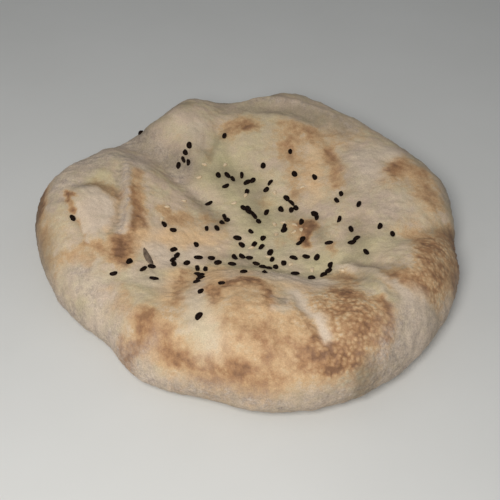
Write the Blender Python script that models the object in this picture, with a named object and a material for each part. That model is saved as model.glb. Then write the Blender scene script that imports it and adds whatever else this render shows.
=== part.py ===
"""A puffy round flatbread, with black nigella seeds, pale sesame seeds and a husk on its crust.

Standalone Blender 4.5 script: blender --background --python part.py
It leaves one object, flatbread: one closed body, with every seed joined to the crust.

Frame: +Z is up, the flat underside lies on z = 0 and the origin is the middle of the underside.
The largest pillow of dough faces -Y, the front. Sizes and places are millimetres, and MM turns
them into Blender's metres. Directions are degrees, anticlockwise from +X as seen from above.
Places in the tables are measured from the middle of the sunk crumb, and make_object moves them.
"""

import math
import random

import bmesh
import bpy
import numpy as np

MM = 0.001

# The rim by direction: how far the widest edge lies from the middle, and how high the rim rises.
RIM = {
    4: (85, 25), 17: (88, 25), 30: (86.5, 24), 45: (86, 24), 60: (87.5, 25), 76: (91.5, 26),
    88: (83.5, 25), 98: (85, 23), 109: (87, 26), 121: (78, 26), 136: (81.5, 20), 149: (82.5, 24),
    163: (86.5, 26), 176: (85, 26), 190: (80.5, 25), 208: (76, 22), 225: (72, 21), 242: (76.5, 20),
    260: (77, 20), 280: (82.5, 20), 300: (85.5, 20), 322: (85, 21), 343: (85, 24), 356: (83.5, 24),
}
RADIUS_COLUMN = 0
CREST_COLUMN = 1

# The crumb sinks to the floor height inside the basin, and rises from there to the rim's crest.
# Both places are shares of the way from the middle to the edge.
FLOOR_HEIGHT = 14.5
BASIN_SHARE = 0.12
CREST_SHARE = 0.74

# The side rounds over from the shoulder to the widest line, a share of the height above it, and
# tucks in below to the foot that it stands on.
SHOULDER_SHARE = 0.80
FOOT_SHARE = 0.86
WIDEST_LIFT = 0.36
SIDE_POWER = 2.1

# Pillows of dough: middle x and y, half length, half width, direction of the length, height, and
# roundness, from 0.5 for a dome with a steep foot to 1 for a soft mound.
PILLOWS = {
    "front": (2, -55.5, 42, 37, -3, 31, 0.55),
    "front right": (37, -62, 46, 37, 12, 30, 0.5),
    "right": (61, -38, 36, 26, 62, 29, 0.5),
    "front left": (-31, -54, 38, 26, -24, 25, 0.9),
    "back left": (-31, 60, 30, 23, 38, 27.5, 0.7),
    "left": (-64, 4, 30, 15, 100, 27, 0.9),
}
PILLOW_SHARPNESS = 0.40

# Grooves and folds: depth, negative where dough stands up in a fold, half width, and the route.
CREASES = {
    "upper left valley": (4.4, 7.5, [(-62, 62), (-46, 50), (-36, 42), (-26, 32)]),
    "upper left valley low": (2.5, 7.0, [(-37, 43), (-26, 30), (-17, 18), (-8, 7)]),
    "left crescent": (2.1, 3.6, [(-72, 11), (-66, 14), (-60, 17), (-54, 15), (-51, 9)]),
    "beside the left ridge": (1.6, 2.4, [(-52, 29), (-51, 15), (-49, 3), (-49, -12)]),
    "left ridge": (-1.3, 2.0, [(-49, 36), (-48, 22), (-46, 8), (-45, -4), (-46, -13)]),
    "left swirl": (1.6, 1.9, [(-72, 12), (-70, 5), (-66, -3), (-62, -9), (-60, -18)]),
    "dome crease": (2.1, 3.1, [(-10, 60), (-14, 48), (-18, 36)]),
    "right notch": (2.6, 5.0, [(94, 1), (80, -5), (66, -12), (54, -16)]),
    "back fold": (-1.5, 2.8, [(-10, 72), (10, 72.5), (30, 65.5), (50, 51)]),
    "behind the fold": (1.3, 3.4, [(0, 65), (16, 65.5), (31, 58.5), (45, 47)]),
    "back streak": (1.2, 3.5, [(30, 56), (37, 44), (36, 30)]),
    "stretch mark": (1.0, 2.6, [(18, -45), (22, -57), (28, -69)]),
    "crease ridge": (-1.4, 2.2, [(34, -25), (42, -29), (47, -35), (50, -43)]),
    "beside the crease ridge": (1.3, 2.3, [(41, -24), (48, -29), (56, -36)]),
    "second crease ridge": (-0.8, 1.7, [(43, -37), (47, -43), (49, -51)]),
    "saddle": (1.2, 4.0, [(11, -34), (13, -43), (13, -51)]),
}
CREASE_STEPS = 24
CREASE_FADE = 0.3

# Low swellings and hollows all over the crust: how many, how far from the middle, radius, height.
LUMP_COUNT = 90
LUMP_REACH = 78
LUMP_RADIUS = (5, 11)
LUMP_HEIGHT = 0.7
LUMP_DRAW = 7

# Rings of the mesh: ring n of the top has six times n points, and the side keeps the last count.
TOP_RINGS = 21
SIDE_RINGS = 6
UNDER_RINGS = 3

# A seed's length, width and thickness, and how much of its thickness is sunk in the crust.
NIGELLA_SIZE = (3.2, 1.95, 1.5)
SESAME_SIZE = (2.6, 1.5, 0.9)
HUSK_SIZE = (8.8, 2.9, 0.9)
SEED_SUNK = 0.36
SEED_SIDES = 5
SEED_RINGS = ((0.14, 0.72), (0.5, 1.0), (0.86, 0.66))
SIZE_SPREAD = 0.15

# Trails of seeds: count, spread to each side, the way they point and how far that may turn, in
# degrees, and the route. A seed that would lie closer than the gap to an earlier one is drawn again.
NIGELLA_TRAILS = {
    "back left row": (3, 0.3, 70, 30, [(-23.8, 41.6), (-26.4, 37.6)]),
    "back left foot": (2, 0.2, 95, 20, [(-28.2, 35.8), (-24.0, 35.6)]),
    "back centre row": (4, 0.3, 110, 25, [(-11, 29.2), (-7.4, 29.6), (-5.3, 28), (-1.5, 30)]),
    "back centre foot": (1, 0.2, 47, 15, [(-8, 24)]),
    "back centre right": (3, 0.3, 60, 30, [(3, 27), (1.2, 25.5), (0.8, 21.4)]),
    "back pair": (2, 0.2, 58, 10, [(8.8, 21.8), (10.6, 24.6)]),
    "back lone": (2, 0.3, 83, 10, [(7.8, 34), (19.4, 41)]),
    "back right": (2, 0.3, 95, 10, [(20.5, 27.9), (28.7, 25)]),
    "far lone": (1, 0.0, 92, 5, [(-9, 51)]),
    "outline lone": (1, 0.0, 74, 5, [(-46.5, 58.6)]),
    "left of the middle row": (1, 0.0, 39, 10, [(-15, 16.5)]),
    "long row": (4, 0.2, 128, 12, [(-0.4, 12.4), (1.6, 10), (3.6, 7.6), (5.6, 4.6)]),
    "long row head": (2, 0.2, 128, 10, [(1, 12.4), (2.8, 10)]),
    "beside the long row": (1, 0.2, 64, 10, [(8.9, 9.6)]),
    "right row": (3, 0.2, 124, 12, [(17, 16.2), (18.9, 13.6), (20.8, 11.4)]),
    "right row foot": (2, 0.2, 104, 25, [(15, 11.2), (18.7, 10.3)]),
    "middle right": (3, 0.3, 112, 30, [(27.8, 6.2), (28.2, 3.6), (22.6, 3)]),
    "under the right row": (2, 0.2, 85, 25, [(15.8, 1.6), (15.6, -0.8)]),
    "low right": (2, 0.2, 62, 30, [(22.8, -7), (21.2, -9)]),
    "far right pair": (2, 0.2, 95, 40, [(38.8, 14.2), (37, 10.6)]),
    "far right": (3, 0.3, 86, 25, [(45.4, 5.6), (37.2, 0), (41, -7.2)]),
    "rightmost": (2, 0.3, 83, 8, [(52, -8.4), (56, -12.6)]),
    "right crease": (3, 0.3, 10, 30, [(32.6, -12.2), (41, -14), (43, -12.8)]),
    "right crease end": (1, 0.2, 109, 10, [(45.8, -20.3)]),
    "centre left": (3, 0.2, 110, 30, [(-8.2, 8), (-7, 6.3), (-9.2, 4.2)]),
    "centre left foot": (2, 0.2, 102, 10, [(-11.3, 0), (-15, -0.5)]),
    "left upper": (1, 0.2, 113, 10, [(-31.8, -2.6)]),
    "left lower": (1, 0.2, 26, 10, [(-28.1, -4.6)]),
    "left of middle": (1, 0.0, 105, 5, [(-19, -10.4)]),
    "middle top": (3, 0.3, 120, 45, [(2.4, -1.5), (-3.2, -5), (-1.3, -9)]),
    "middle right side": (3, 0.3, 60, 12, [(7.5, -5.8), (3.8, -8.6), (6.4, -10.6)]),
    "middle foot": (2, 0.3, 73, 12, [(10.1, -13.5), (10.3, -17.9)]),
    "left crease": (4, 0.3, 65, 30, [(-27.3, -15), (-25.8, -17.8), (-26.7, -21), (-26, -23.6)]),
    "left crease right": (1, 0.2, 57, 10, [(-21.9, -21.8)]),
    "crease left": (4, 0.3, 8, 30, [(-17.5, -18.2), (-12.8, -17.7), (-10, -19.6), (-4.8, -20)]),
    "crease arc": (5, 0.3, 145, 30, [(-3.6, -16.1), (-0.8, -15), (1.6, -16.6), (4.5, -19.6), (6.7, -22.6)]),
    "crease right start": (1, 0.2, 0, 10, [(8.8, -24)]),
    "crease right": (2, 0.3, 105, 18, [(12.1, -22.4), (14.6, -20.2)]),
    "above the crease": (3, 0.3, 105, 45, [(18.8, -17.6), (23.4, -17.6), (27.2, -18.6)]),
    "crease right end": (4, 0.3, 20, 20, [(18.6, -27.8), (24.6, -31.6), (29, -29.6), (31.6, -27.2)]),
    "crease right tip": (1, 0.2, 75, 10, [(32.5, -24)]),
    "bulge right": (1, 0.2, 97, 10, [(7.7, -31.2)]),
    "bulge top": (1, 0.2, 27, 10, [(0, -31.6)]),
    "bulge left": (1, 0.2, 148, 10, [(-7.9, -40.8)]),
    "spill top": (2, 0.3, 75, 25, [(-17.5, -24), (-14.5, -24.2)]),
    "spill": (4, 0.4, 22, 25, [(-17.4, -27.4), (-16.4, -29.6), (-16.2, -32.4), (-17, -35)]),
    "front lone": (2, 0.2, 67, 8, [(-14.9, -44.3), (-14.8, -57.4)]),
    "left group": (2, 0.3, 62, 20, [(-42.8, -25.6), (-37.1, -28.4)]),
    "beside the husk": (2, 0.3, 8, 12, [(-34.4, -26.2), (-33.1, -33)]),
    "left end": (1, 0.0, 20, 10, [(-47.7, -31.6)]),
    "left lone": (1, 0.0, 125, 5, [(-66.3, -5.4)]),
}
SESAME_TRAILS = {
    "sesame right": (6, 1.8, 60, 90, [(12, 4), (17, 1), (22, -4), (13, -2)]),
    "sesame middle": (4, 2.4, 60, 90, [(22, 20), (6, 18), (-3, 18)]),
    "sesame back": (4, 2.0, 60, 90, [(-9, 36), (-17, 33), (-21, 28), (-26, 13)]),
    "sesame crease": (5, 1.6, 60, 90, [(3, -10), (10, -16), (17, -20), (24, -27), (37, -27)]),
    "sesame left": (2, 1.5, 60, 90, [(-33, 1), (-30, 8)]),
}
HUSK_TRAILS = {
    "husk": (1, 0.0, -66, 0, [(-36.1, -21.4)]),
}
SEED_GAP = 1.8
PLACE_TRIES = 30
PLACE_DRAW = 20
FORM_DRAW = 5

# The step that a slope is measured over, and the directions sampled to find the outline's middle.
SLOPE_STEP = 0.4
OUTLINE_SAMPLES = 3601


def smooth_step(share):
    """A soft ramp from 0 to 1."""
    share = np.clip(share, 0, 1)
    return share * share * (3 - 2 * share)


def around_rim(direction, column):
    """One column of the rim's table as a smooth closed curve over all directions, in radians."""
    knots = sorted(RIM)
    turns = [knot - 360 for knot in knots[-2:]] + knots + [knot + 360 for knot in knots[:2]]
    turns = np.array(turns, dtype=float)
    values = np.array([RIM[turn % 360][column] for turn in turns.astype(int)], dtype=float)
    slopes = np.zeros(len(values))
    slopes[1:-1] = (values[2:] - values[:-2]) / (turns[2:] - turns[:-2])
    turn = np.degrees(direction) % 360
    start = np.clip(np.searchsorted(turns, turn, side="right") - 1, 1, len(turns) - 3)
    gap = turns[start + 1] - turns[start]
    t = (turn - turns[start]) / gap
    level = values[start] * (1 + 2 * t) * (1 - t) ** 2 + values[start + 1] * t * t * (3 - 2 * t)
    lean = slopes[start] * t * (1 - t) ** 2 + slopes[start + 1] * t * t * (t - 1)
    return level + gap * lean


def curve_through(route, steps):
    """Points spread along a smooth curve through a route's own points, ends included."""
    points = np.array(route, dtype=float)
    before = np.vstack([2 * points[0] - points[1], points[:-1]])
    after = np.vstack([points[1:], 2 * points[-1] - points[-2]])
    slopes = (after - before) / 2
    place = np.linspace(0, len(points) - 1, steps)
    start = np.minimum(place.astype(int), len(points) - 2)
    t = (place - start)[:, None]
    level = points[start] * (1 + 2 * t) * (1 - t) ** 2 + points[start + 1] * t * t * (3 - 2 * t)
    return level + slopes[start] * t * (1 - t) ** 2 + slopes[start + 1] * t * t * (t - 1)


def pillow_height(x, y, name):
    """The top of one pillow of dough over the board."""
    middle_x, middle_y, half_length, half_width, direction, height, roundness = PILLOWS[name]
    cosine = math.cos(math.radians(direction))
    sine = math.sin(math.radians(direction))
    along = ((x - middle_x) * cosine + (y - middle_y) * sine) / half_length
    across = ((y - middle_y) * cosine - (x - middle_x) * sine) / half_width
    return height * np.maximum(1 - along ** 2 - across ** 2, 0) ** roundness


def crease_depth(x, y, name):
    """How far one groove sinks the crust, as soft dabs along its curve that fade at both ends."""
    depth, half_width, route = CREASES[name]
    dabs = curve_through(route, CREASE_STEPS)
    spacing = np.linalg.norm(np.diff(dabs, axis=0), axis=1).mean()
    strength = depth * spacing / (half_width * math.sqrt(math.pi))
    total = np.zeros(np.shape(x))
    for step, (dab_x, dab_y) in enumerate(dabs):
        share = step / (CREASE_STEPS - 1)
        fade = smooth_step(min(share, 1 - share) / CREASE_FADE + 0.2)
        total += strength * fade * np.exp(-((x - dab_x) ** 2 + (y - dab_y) ** 2) / half_width ** 2)
    return total


def lump_height(x, y):
    """Soft swellings and hollows in drawn places."""
    draw = random.Random(LUMP_DRAW)
    total = np.zeros(np.shape(x))
    for _ in range(LUMP_COUNT):
        direction = draw.uniform(0, 2 * math.pi)
        reach = LUMP_REACH * math.sqrt(draw.uniform(0, 1))
        middle_x = reach * math.cos(direction)
        middle_y = reach * math.sin(direction)
        radius = draw.uniform(*LUMP_RADIUS)
        height = LUMP_HEIGHT * draw.uniform(-1, 1)
        total += height * np.exp(-((x - middle_x) ** 2 + (y - middle_y) ** 2) / radius ** 2)
    return total


def crust_height(x, y):
    """The height of the crust over the board, before the side rounds over."""
    direction = np.arctan2(y, x)
    share = np.hypot(x, y) / around_rim(direction, RADIUS_COLUMN)
    rise = smooth_step((share - BASIN_SHARE) / (CREST_SHARE - BASIN_SHARE))
    rim = FLOOR_HEIGHT + (around_rim(direction, CREST_COLUMN) - FLOOR_HEIGHT) * rise
    blend = np.exp(PILLOW_SHARPNESS * rim)
    for name in PILLOWS:
        blend += np.exp(PILLOW_SHARPNESS * pillow_height(x, y, name)) - 1
    height = np.log(blend) / PILLOW_SHARPNESS
    for name in CREASES:
        height -= crease_depth(x, y, name)
    return height + lump_height(x, y)


def side_share(share):
    """How much of the crust's height is left where the side rounds over."""
    over = np.clip((share - SHOULDER_SHARE) / (1 - SHOULDER_SHARE), 0, 1)
    return WIDEST_LIFT + (1 - WIDEST_LIFT) * (1 - over ** SIDE_POWER) ** (1 / SIDE_POWER)


def surface_height(x, y):
    """The height of the bread's top skin over the board."""
    share = np.hypot(x, y) / around_rim(np.arctan2(y, x), RADIUS_COLUMN)
    return side_share(share) * crust_height(x, y)


def surface_normal(x, y):
    """The direction that the skin faces, from heights a small step to each side."""
    slope_x = surface_height(x + SLOPE_STEP, y) - surface_height(x - SLOPE_STEP, y)
    slope_y = surface_height(x, y + SLOPE_STEP) - surface_height(x, y - SLOPE_STEP)
    normal = np.array([-slope_x, -slope_y, 2 * SLOPE_STEP])
    return normal / np.linalg.norm(normal)


def underside_middle():
    """The middle of the outline, which becomes the part's origin."""
    direction = np.linspace(0, 2 * math.pi, OUTLINE_SAMPLES)
    reach = around_rim(direction, RADIUS_COLUMN)
    x = reach * np.cos(direction)
    y = reach * np.sin(direction)
    return np.array([(x.min() + x.max()) / 2, (y.min() + y.max()) / 2, 0.0])


def ring_plan():
    """Each ring from the middle out and under: points in it, share of the radius and of height."""
    plan = []
    for ring in range(1, TOP_RINGS + 1):
        plan.append((6 * ring, SHOULDER_SHARE * ring / TOP_RINGS, 1.0))
    for ring in range(1, SIDE_RINGS + 1):
        turn = math.pi / 2 * ring / SIDE_RINGS
        share = SHOULDER_SHARE + (1 - SHOULDER_SHARE) * math.sin(turn) ** (2 / SIDE_POWER)
        plan.append((6 * TOP_RINGS, share, float(side_share(share))))
    for ring in range(1, UNDER_RINGS + 1):
        turn = math.pi / 2 * ring / UNDER_RINGS
        share = FOOT_SHARE + (1 - FOOT_SHARE) * math.cos(turn)
        plan.append((6 * TOP_RINGS, share, WIDEST_LIFT * (1 - math.sin(turn))))
    return plan


def ring_points(count, share, lift):
    """The points of one ring, in millimetres."""
    direction = 2 * math.pi * np.arange(count) / count
    reach = share * around_rim(direction, RADIUS_COLUMN)
    x = reach * np.cos(direction)
    y = reach * np.sin(direction)
    return np.column_stack([x, y, lift * crust_height(x, y)])


def stitch(inner, outer):
    """Triangles between two rings of point numbers, each step taken on the ring that lags."""
    triangles = []
    i = 0
    o = 0
    while i < len(inner) or o < len(outer):
        a = inner[i % len(inner)]
        b = outer[o % len(outer)]
        if o < len(outer) and (i == len(inner) or (o + 0.5) * len(inner) <= (i + 0.5) * len(outer)):
            o += 1
            triangles.append((a, b, outer[o % len(outer)]))
        else:
            i += 1
            triangles.append((a, b, inner[i % len(inner)]))
    return triangles


def make_material(name, colour, roughness):
    """A plain surface of one colour."""
    material = bpy.data.materials.new(name)
    material.use_nodes = True
    shader = material.node_tree.nodes["Principled BSDF"]
    shader.inputs["Base Color"].default_value = (*colour, 1)
    shader.inputs["Roughness"].default_value = roughness
    shader.inputs["Metallic"].default_value = 0
    material.diffuse_color = (*colour, 1)
    return material


def make_object(name, points, faces, material, collection):
    """A mesh object from points in millimetres, moved so that the origin is the outline's middle."""
    mesh = bpy.data.meshes.new(name)
    mesh.from_pydata(((np.array(points) - underside_middle()) * MM).tolist(), [], faces)
    mesh.validate()
    mesh.materials.append(material)
    bread = bpy.data.objects.new(name, mesh)
    collection.objects.link(bread)
    return bread


def make_crust(material):
    """The bread itself: a domed top of rings, a rounded side and a flat underside."""
    points = [(0.0, 0.0, float(crust_height(np.array(0.0), np.array(0.0))))]
    rings = []
    for count, share, lift in ring_plan():
        rings.append(list(range(len(points), len(points) + count)))
        points.extend(ring_points(count, share, lift).tolist())
    first = rings[0]
    faces = [(0, first[n], first[(n + 1) % len(first)]) for n in range(len(first))]
    for inner, outer in zip(rings, rings[1:]):
        faces.extend(stitch(inner, outer))
    faces.append(tuple(reversed(rings[-1])))
    crust = make_object("flatbread", points, faces, material, bpy.context.scene.collection)
    crust.data.shade_smooth()
    return crust


def seed_form(size, draw):
    """A teardrop seed lying along +X with flat facets: its points and faces."""
    length, width, thickness = (side * (1 + SIZE_SPREAD * draw.uniform(-1, 1)) for side in size)
    roll = draw.uniform(0, 2 * math.pi)
    points = [(-length / 2, 0, 0)]
    for place, girth in SEED_RINGS:
        for side in range(SEED_SIDES):
            turn = roll + 2 * math.pi * side / SEED_SIDES
            across = width / 2 * girth * math.cos(turn)
            up = thickness / 2 * girth * math.sin(turn)
            points.append(((place - 0.5) * length, across, up))
    points.append((length / 2, 0, 0))
    starts = [1 + ring * SEED_SIDES for ring in range(len(SEED_RINGS))]
    rings = [list(range(start, start + SEED_SIDES)) for start in starts]
    faces = [(0, a, b) for a, b in zip(rings[0][1:] + rings[0][:1], rings[0])]
    for near, far in zip(rings, rings[1:]):
        for n in range(SEED_SIDES):
            m = (n + 1) % SEED_SIDES
            faces.append((near[n], near[m], far[m], far[n]))
    faces.extend((len(points) - 1, a, b) for a, b in zip(rings[-1], rings[-1][1:] + rings[-1][:1]))
    return np.array(points), faces


def lay_on_crust(points, x, y, heading, thickness):
    """Turns a seed to its heading, leans it with the skin and sinks it in."""
    normal = surface_normal(x, y)
    ahead = np.array([math.cos(heading), math.sin(heading), 0])
    ahead -= normal * ahead.dot(normal)
    ahead /= np.linalg.norm(ahead)
    side = np.cross(normal, ahead)
    middle = np.array([x, y, float(surface_height(x, y))]) + normal * thickness * (0.5 - SEED_SUNK)
    return middle + points @ np.array([ahead, side, normal])


def has_room(x, y, places):
    """Whether no seed lies too close yet."""
    return all(math.hypot(x - other_x, y - other_y) > SEED_GAP for other_x, other_y, _ in places)


def strew(trails, draw, places):
    """Adds the seeds of each trail to the places: x, y and the way that the seed points."""
    for count, spread, heading, turn, route in trails.values():
        curve = curve_through(route, count) if count > 1 else route
        for step in range(count):
            own_heading = math.radians(heading + draw.uniform(-turn, turn))
            for _ in range(PLACE_TRIES):
                x = curve[step][0] + draw.uniform(-spread, spread)
                y = curve[step][1] + draw.uniform(-spread, spread)
                if has_room(x, y, places):
                    break
            places.append((x, y, own_heading))


def seed_places():
    """The places of all nigella seeds, sesame seeds and husks, in three lists."""
    draw = random.Random(PLACE_DRAW)
    places = []
    ends = [0]
    for trails in (NIGELLA_TRAILS, SESAME_TRAILS, HUSK_TRAILS):
        strew(trails, draw, places)
        ends.append(len(places))
    return [places[start:end] for start, end in zip(ends, ends[1:])]


def make_seeds(name, collection, places, size, material, draw):
    """Every seed of one kind as its own small body, laid on the crust."""
    for x, y, heading in places:
        points, faces = seed_form(size, draw)
        laid = lay_on_crust(points, x, y, heading, size[2])
        make_object(name, laid, faces, material, collection)


def join_seeds(crust, collection):
    """Joins the seeds to the crust in one union, then removes them."""
    union = crust.modifiers.new("seeds", "BOOLEAN")
    union.operation = "UNION"
    union.operand_type = "COLLECTION"
    union.collection = collection
    union.solver = "EXACT"
    union.material_mode = "TRANSFER"
    bpy.context.view_layer.objects.active = crust
    bpy.ops.object.modifier_apply(modifier=union.name)
    for seed in list(collection.objects):
        bpy.data.objects.remove(seed)
    bpy.data.collections.remove(collection)


def split_into_triangles(crust):
    """Leaves only triangles, so that every face is flat."""
    shape = bmesh.new()
    shape.from_mesh(crust.data)
    bmesh.ops.triangulate(shape, faces=shape.faces)
    shape.to_mesh(crust.data)
    shape.free()


def build_flatbread():
    """The whole part."""
    for old in list(bpy.data.objects):
        bpy.data.objects.remove(old)
    crust = make_crust(make_material("baked crust", (0.46, 0.33, 0.20), 0.75))
    seeds = bpy.data.collections.new("seeds")
    bpy.context.scene.collection.children.link(seeds)
    draw = random.Random(FORM_DRAW)
    nigella_places, sesame_places, husk_places = seed_places()
    nigella = make_material("nigella seed", (0.012, 0.010, 0.010), 0.5)
    make_seeds("nigella", seeds, nigella_places, NIGELLA_SIZE, nigella, draw)
    sesame = make_material("sesame seed", (0.60, 0.50, 0.36), 0.6)
    make_seeds("sesame", seeds, sesame_places, SESAME_SIZE, sesame, draw)
    husk = make_material("husk", (0.30, 0.22, 0.15), 0.7)
    make_seeds("husk", seeds, husk_places, HUSK_SIZE, husk, draw)
    join_seeds(crust, seeds)
    split_into_triangles(crust)
    size = [round(side / MM, 1) for side in crust.dimensions]
    print("flatbread", len(crust.data.polygons), "triangles,", size, "mm")


build_flatbread()
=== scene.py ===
"""The looks of the puffy round flatbread: its baked, floured crust and the seeds strewn on it.

Blender 4.5. The crust piece repeats the solid's form on a fine mesh with its wrinkles and blisters,
and the seeds lie on it in the solid's own places. Sizes and places are millimetres, and MM turns
them into Blender's metres. Places on the bread are measured from the middle of the sunk crumb, as in
the solid's source, and those of the camera and lights from the part's origin, which is the middle of
the bread's outline. Colours of surfaces are written as the photograph shows them, 0 to 255, and
colour() makes them linear. Those of the lights and the room are linear already.
"""

import itertools
import math
import random

import bpy
import numpy as np
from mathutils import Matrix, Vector
from mathutils.bvhtree import BVHTree


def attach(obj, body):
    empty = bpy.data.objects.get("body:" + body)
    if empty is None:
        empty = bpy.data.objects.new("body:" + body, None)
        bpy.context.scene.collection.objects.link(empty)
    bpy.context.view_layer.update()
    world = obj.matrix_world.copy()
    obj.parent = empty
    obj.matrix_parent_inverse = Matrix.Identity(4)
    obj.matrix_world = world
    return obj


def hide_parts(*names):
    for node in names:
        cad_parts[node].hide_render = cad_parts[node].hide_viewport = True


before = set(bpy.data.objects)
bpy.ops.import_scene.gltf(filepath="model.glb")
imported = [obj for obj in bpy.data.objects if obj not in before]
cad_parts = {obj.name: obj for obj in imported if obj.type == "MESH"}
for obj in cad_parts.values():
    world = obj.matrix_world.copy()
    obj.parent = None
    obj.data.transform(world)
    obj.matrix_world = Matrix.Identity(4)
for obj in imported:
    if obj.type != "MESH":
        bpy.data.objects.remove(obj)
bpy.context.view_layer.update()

MM = 0.001

# The camera looks along +Y and down at the bread, and shows nothing closer than its nearest.
CAMERA_AIM = (1.94, -15.5, 14)
CAMERA_DISTANCE = 320
CAMERA_ELEVATION = 45
CAMERA_LENS = 59.3
CAMERA_SENSOR = 36
CAMERA_NEAREST = 10

# Soft lights, aimed where the camera looks: place, diameter and watts.
LIGHTS = {
    "front softbox": ((-50, -265, 300), 170, 0.965),
    "left softbox": ((-420, -60, 300), 320, 0.15),
}
LIGHT_COLOUR = (1.0, 0.985, 0.965)
ROOM_COLOUR = (0.93, 0.96, 1.0)
ROOM_STRENGTH = 0.24
FLOOR_SIZE = 3000

# The rim by direction: how far the widest edge lies from the middle, and how high the rim rises.
RIM = {
    4: (85, 25), 17: (88, 25), 30: (86.5, 24), 45: (86, 24), 60: (87.5, 25), 76: (91.5, 26),
    88: (83.5, 25), 98: (85, 23), 109: (87, 26), 121: (78, 26), 136: (81.5, 20), 149: (82.5, 24),
    163: (86.5, 26), 176: (85, 26), 190: (80.5, 25), 208: (76, 22), 225: (72, 21), 242: (76.5, 20),
    260: (77, 20), 280: (82.5, 20), 300: (85.5, 20), 322: (85, 21), 343: (85, 24), 356: (83.5, 24),
}
RADIUS_COLUMN = 0
CREST_COLUMN = 1

# The crumb sinks to the floor height inside the basin, and the side rounds over past the shoulder.
FLOOR_HEIGHT = 14.5
BASIN_SHARE = 0.12
CREST_SHARE = 0.74
SHOULDER_SHARE = 0.80
FOOT_SHARE = 0.86
WIDEST_LIFT = 0.36
SIDE_POWER = 2.1

# Pillows of dough: middle x and y, half length, half width, direction of the length, height, and
# roundness, from 0.5 for a dome with a steep foot to 1 for a soft mound.
PILLOWS = {
    "front": (2, -55.5, 42, 37, -3, 31, 0.55),
    "front right": (37, -62, 46, 37, 12, 30, 0.5),
    "right": (61, -38, 36, 26, 62, 29, 0.5),
    "front left": (-31, -54, 38, 26, -24, 25, 0.9),
    "back left": (-31, 60, 30, 23, 38, 27.5, 0.7),
    "left": (-64, 4, 30, 15, 100, 27, 0.9),
}
PILLOW_SHARPNESS = 0.40

# Grooves and folds: depth, negative where dough stands up in a fold, half width, and the route.
CREASES = {
    "upper left valley": (4.4, 7.5, [(-62, 62), (-46, 50), (-36, 42), (-26, 32)]),
    "upper left valley low": (2.5, 7.0, [(-37, 43), (-26, 30), (-17, 18), (-8, 7)]),
    "left crescent": (2.1, 3.6, [(-72, 11), (-66, 14), (-60, 17), (-54, 15), (-51, 9)]),
    "beside the left ridge": (1.6, 2.4, [(-52, 29), (-51, 15), (-49, 3), (-49, -12)]),
    "left ridge": (-1.3, 2.0, [(-49, 36), (-48, 22), (-46, 8), (-45, -4), (-46, -13)]),
    "left swirl": (1.6, 1.9, [(-72, 12), (-70, 5), (-66, -3), (-62, -9), (-60, -18)]),
    "dome crease": (2.1, 3.1, [(-10, 60), (-14, 48), (-18, 36)]),
    "right notch": (2.6, 5.0, [(94, 1), (80, -5), (66, -12), (54, -16)]),
    "back fold": (-1.5, 2.8, [(-10, 72), (10, 72.5), (30, 65.5), (50, 51)]),
    "behind the fold": (1.3, 3.4, [(0, 65), (16, 65.5), (31, 58.5), (45, 47)]),
    "back streak": (1.2, 3.5, [(30, 56), (37, 44), (36, 30)]),
    "stretch mark": (1.0, 2.6, [(18, -45), (22, -57), (28, -69)]),
    "crease ridge": (-1.4, 2.2, [(34, -25), (42, -29), (47, -35), (50, -43)]),
    "beside the crease ridge": (1.3, 2.3, [(41, -24), (48, -29), (56, -36)]),
    "second crease ridge": (-0.8, 1.7, [(43, -37), (47, -43), (49, -51)]),
    "saddle": (1.2, 4.0, [(11, -34), (13, -43), (13, -51)]),
}

# Dabs along each groove, the share of its length that it fades over, and what the fade starts from.
CREASE_STEPS = 24
CREASE_FADE = 0.3
CREASE_FADE_START = 0.2

# Low swellings and hollows all over the crust: how many, how far from the middle, radius, height,
# and the start of the draw that places them.
LUMP_COUNT = 90
LUMP_REACH = 78
LUMP_RADIUS = (5, 11)
LUMP_HEIGHT = 0.7
LUMP_DRAW = 7

# Rings of the fine mesh: each ring of the top has a step more points than the one inside it, and the
# side keeps the last count. Under the bread the rings step in from the foot to the middle.
RING_STEP = 6
TOP_RINGS = 118
SIDE_RINGS = 34
UNDER_RINGS = 14
BASE_RINGS = 9

# Relief that is finer than the solid's: height and size of each kind. It fades out near the board.
SWELL_HEIGHT, SWELL_SIZE = 0.35, 9.0
RIPPLE_HEIGHT, RIPPLE_SIZE = 0.16, 2.6
BLISTER_HEIGHT, BLISTER_SIZE = 0.42, 2.7
FOLD_HEIGHT, FOLD_SIZE = 0.20, 2.3
DIMPLE_DEPTH, DIMPLE_SIZE = 0.35, 2.0
FLAT_BELOW = 2.5

# The squeeze makes fold lines long along X. Blisters rise where the crust is browned, from a start
# over a span, and round off over a gap, as a share of their size.
FOLD_SQUEEZE = (0.22, 1, 1)
BLISTER_START = 0.35
BLISTER_SPAN = 0.5
BLISTER_GAP = 0.6

# Each kind of noise draws from its own salt, and each finer layer of it from a step further on.
SALTS = {
    "drift x": 40, "drift y": 45, "mottle": 70, "dapple": 110,
    "swell": 150, "ripple": 190, "blister": 230, "fold": 270,
}
LAYER_SALT = 10

# Large odd numbers and shifts that mix a cell's place and a salt, and the bits that are then drawn.
CELL_FACTORS = (73856093, 19349663, 83492791)
SALT_FACTOR = 97531
MIX_ROUNDS = ((13, 1274126177), (16, 668265263))
DRAWN_SHIFT = 15
DRAWN_BITS = 0xFFFF

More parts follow.
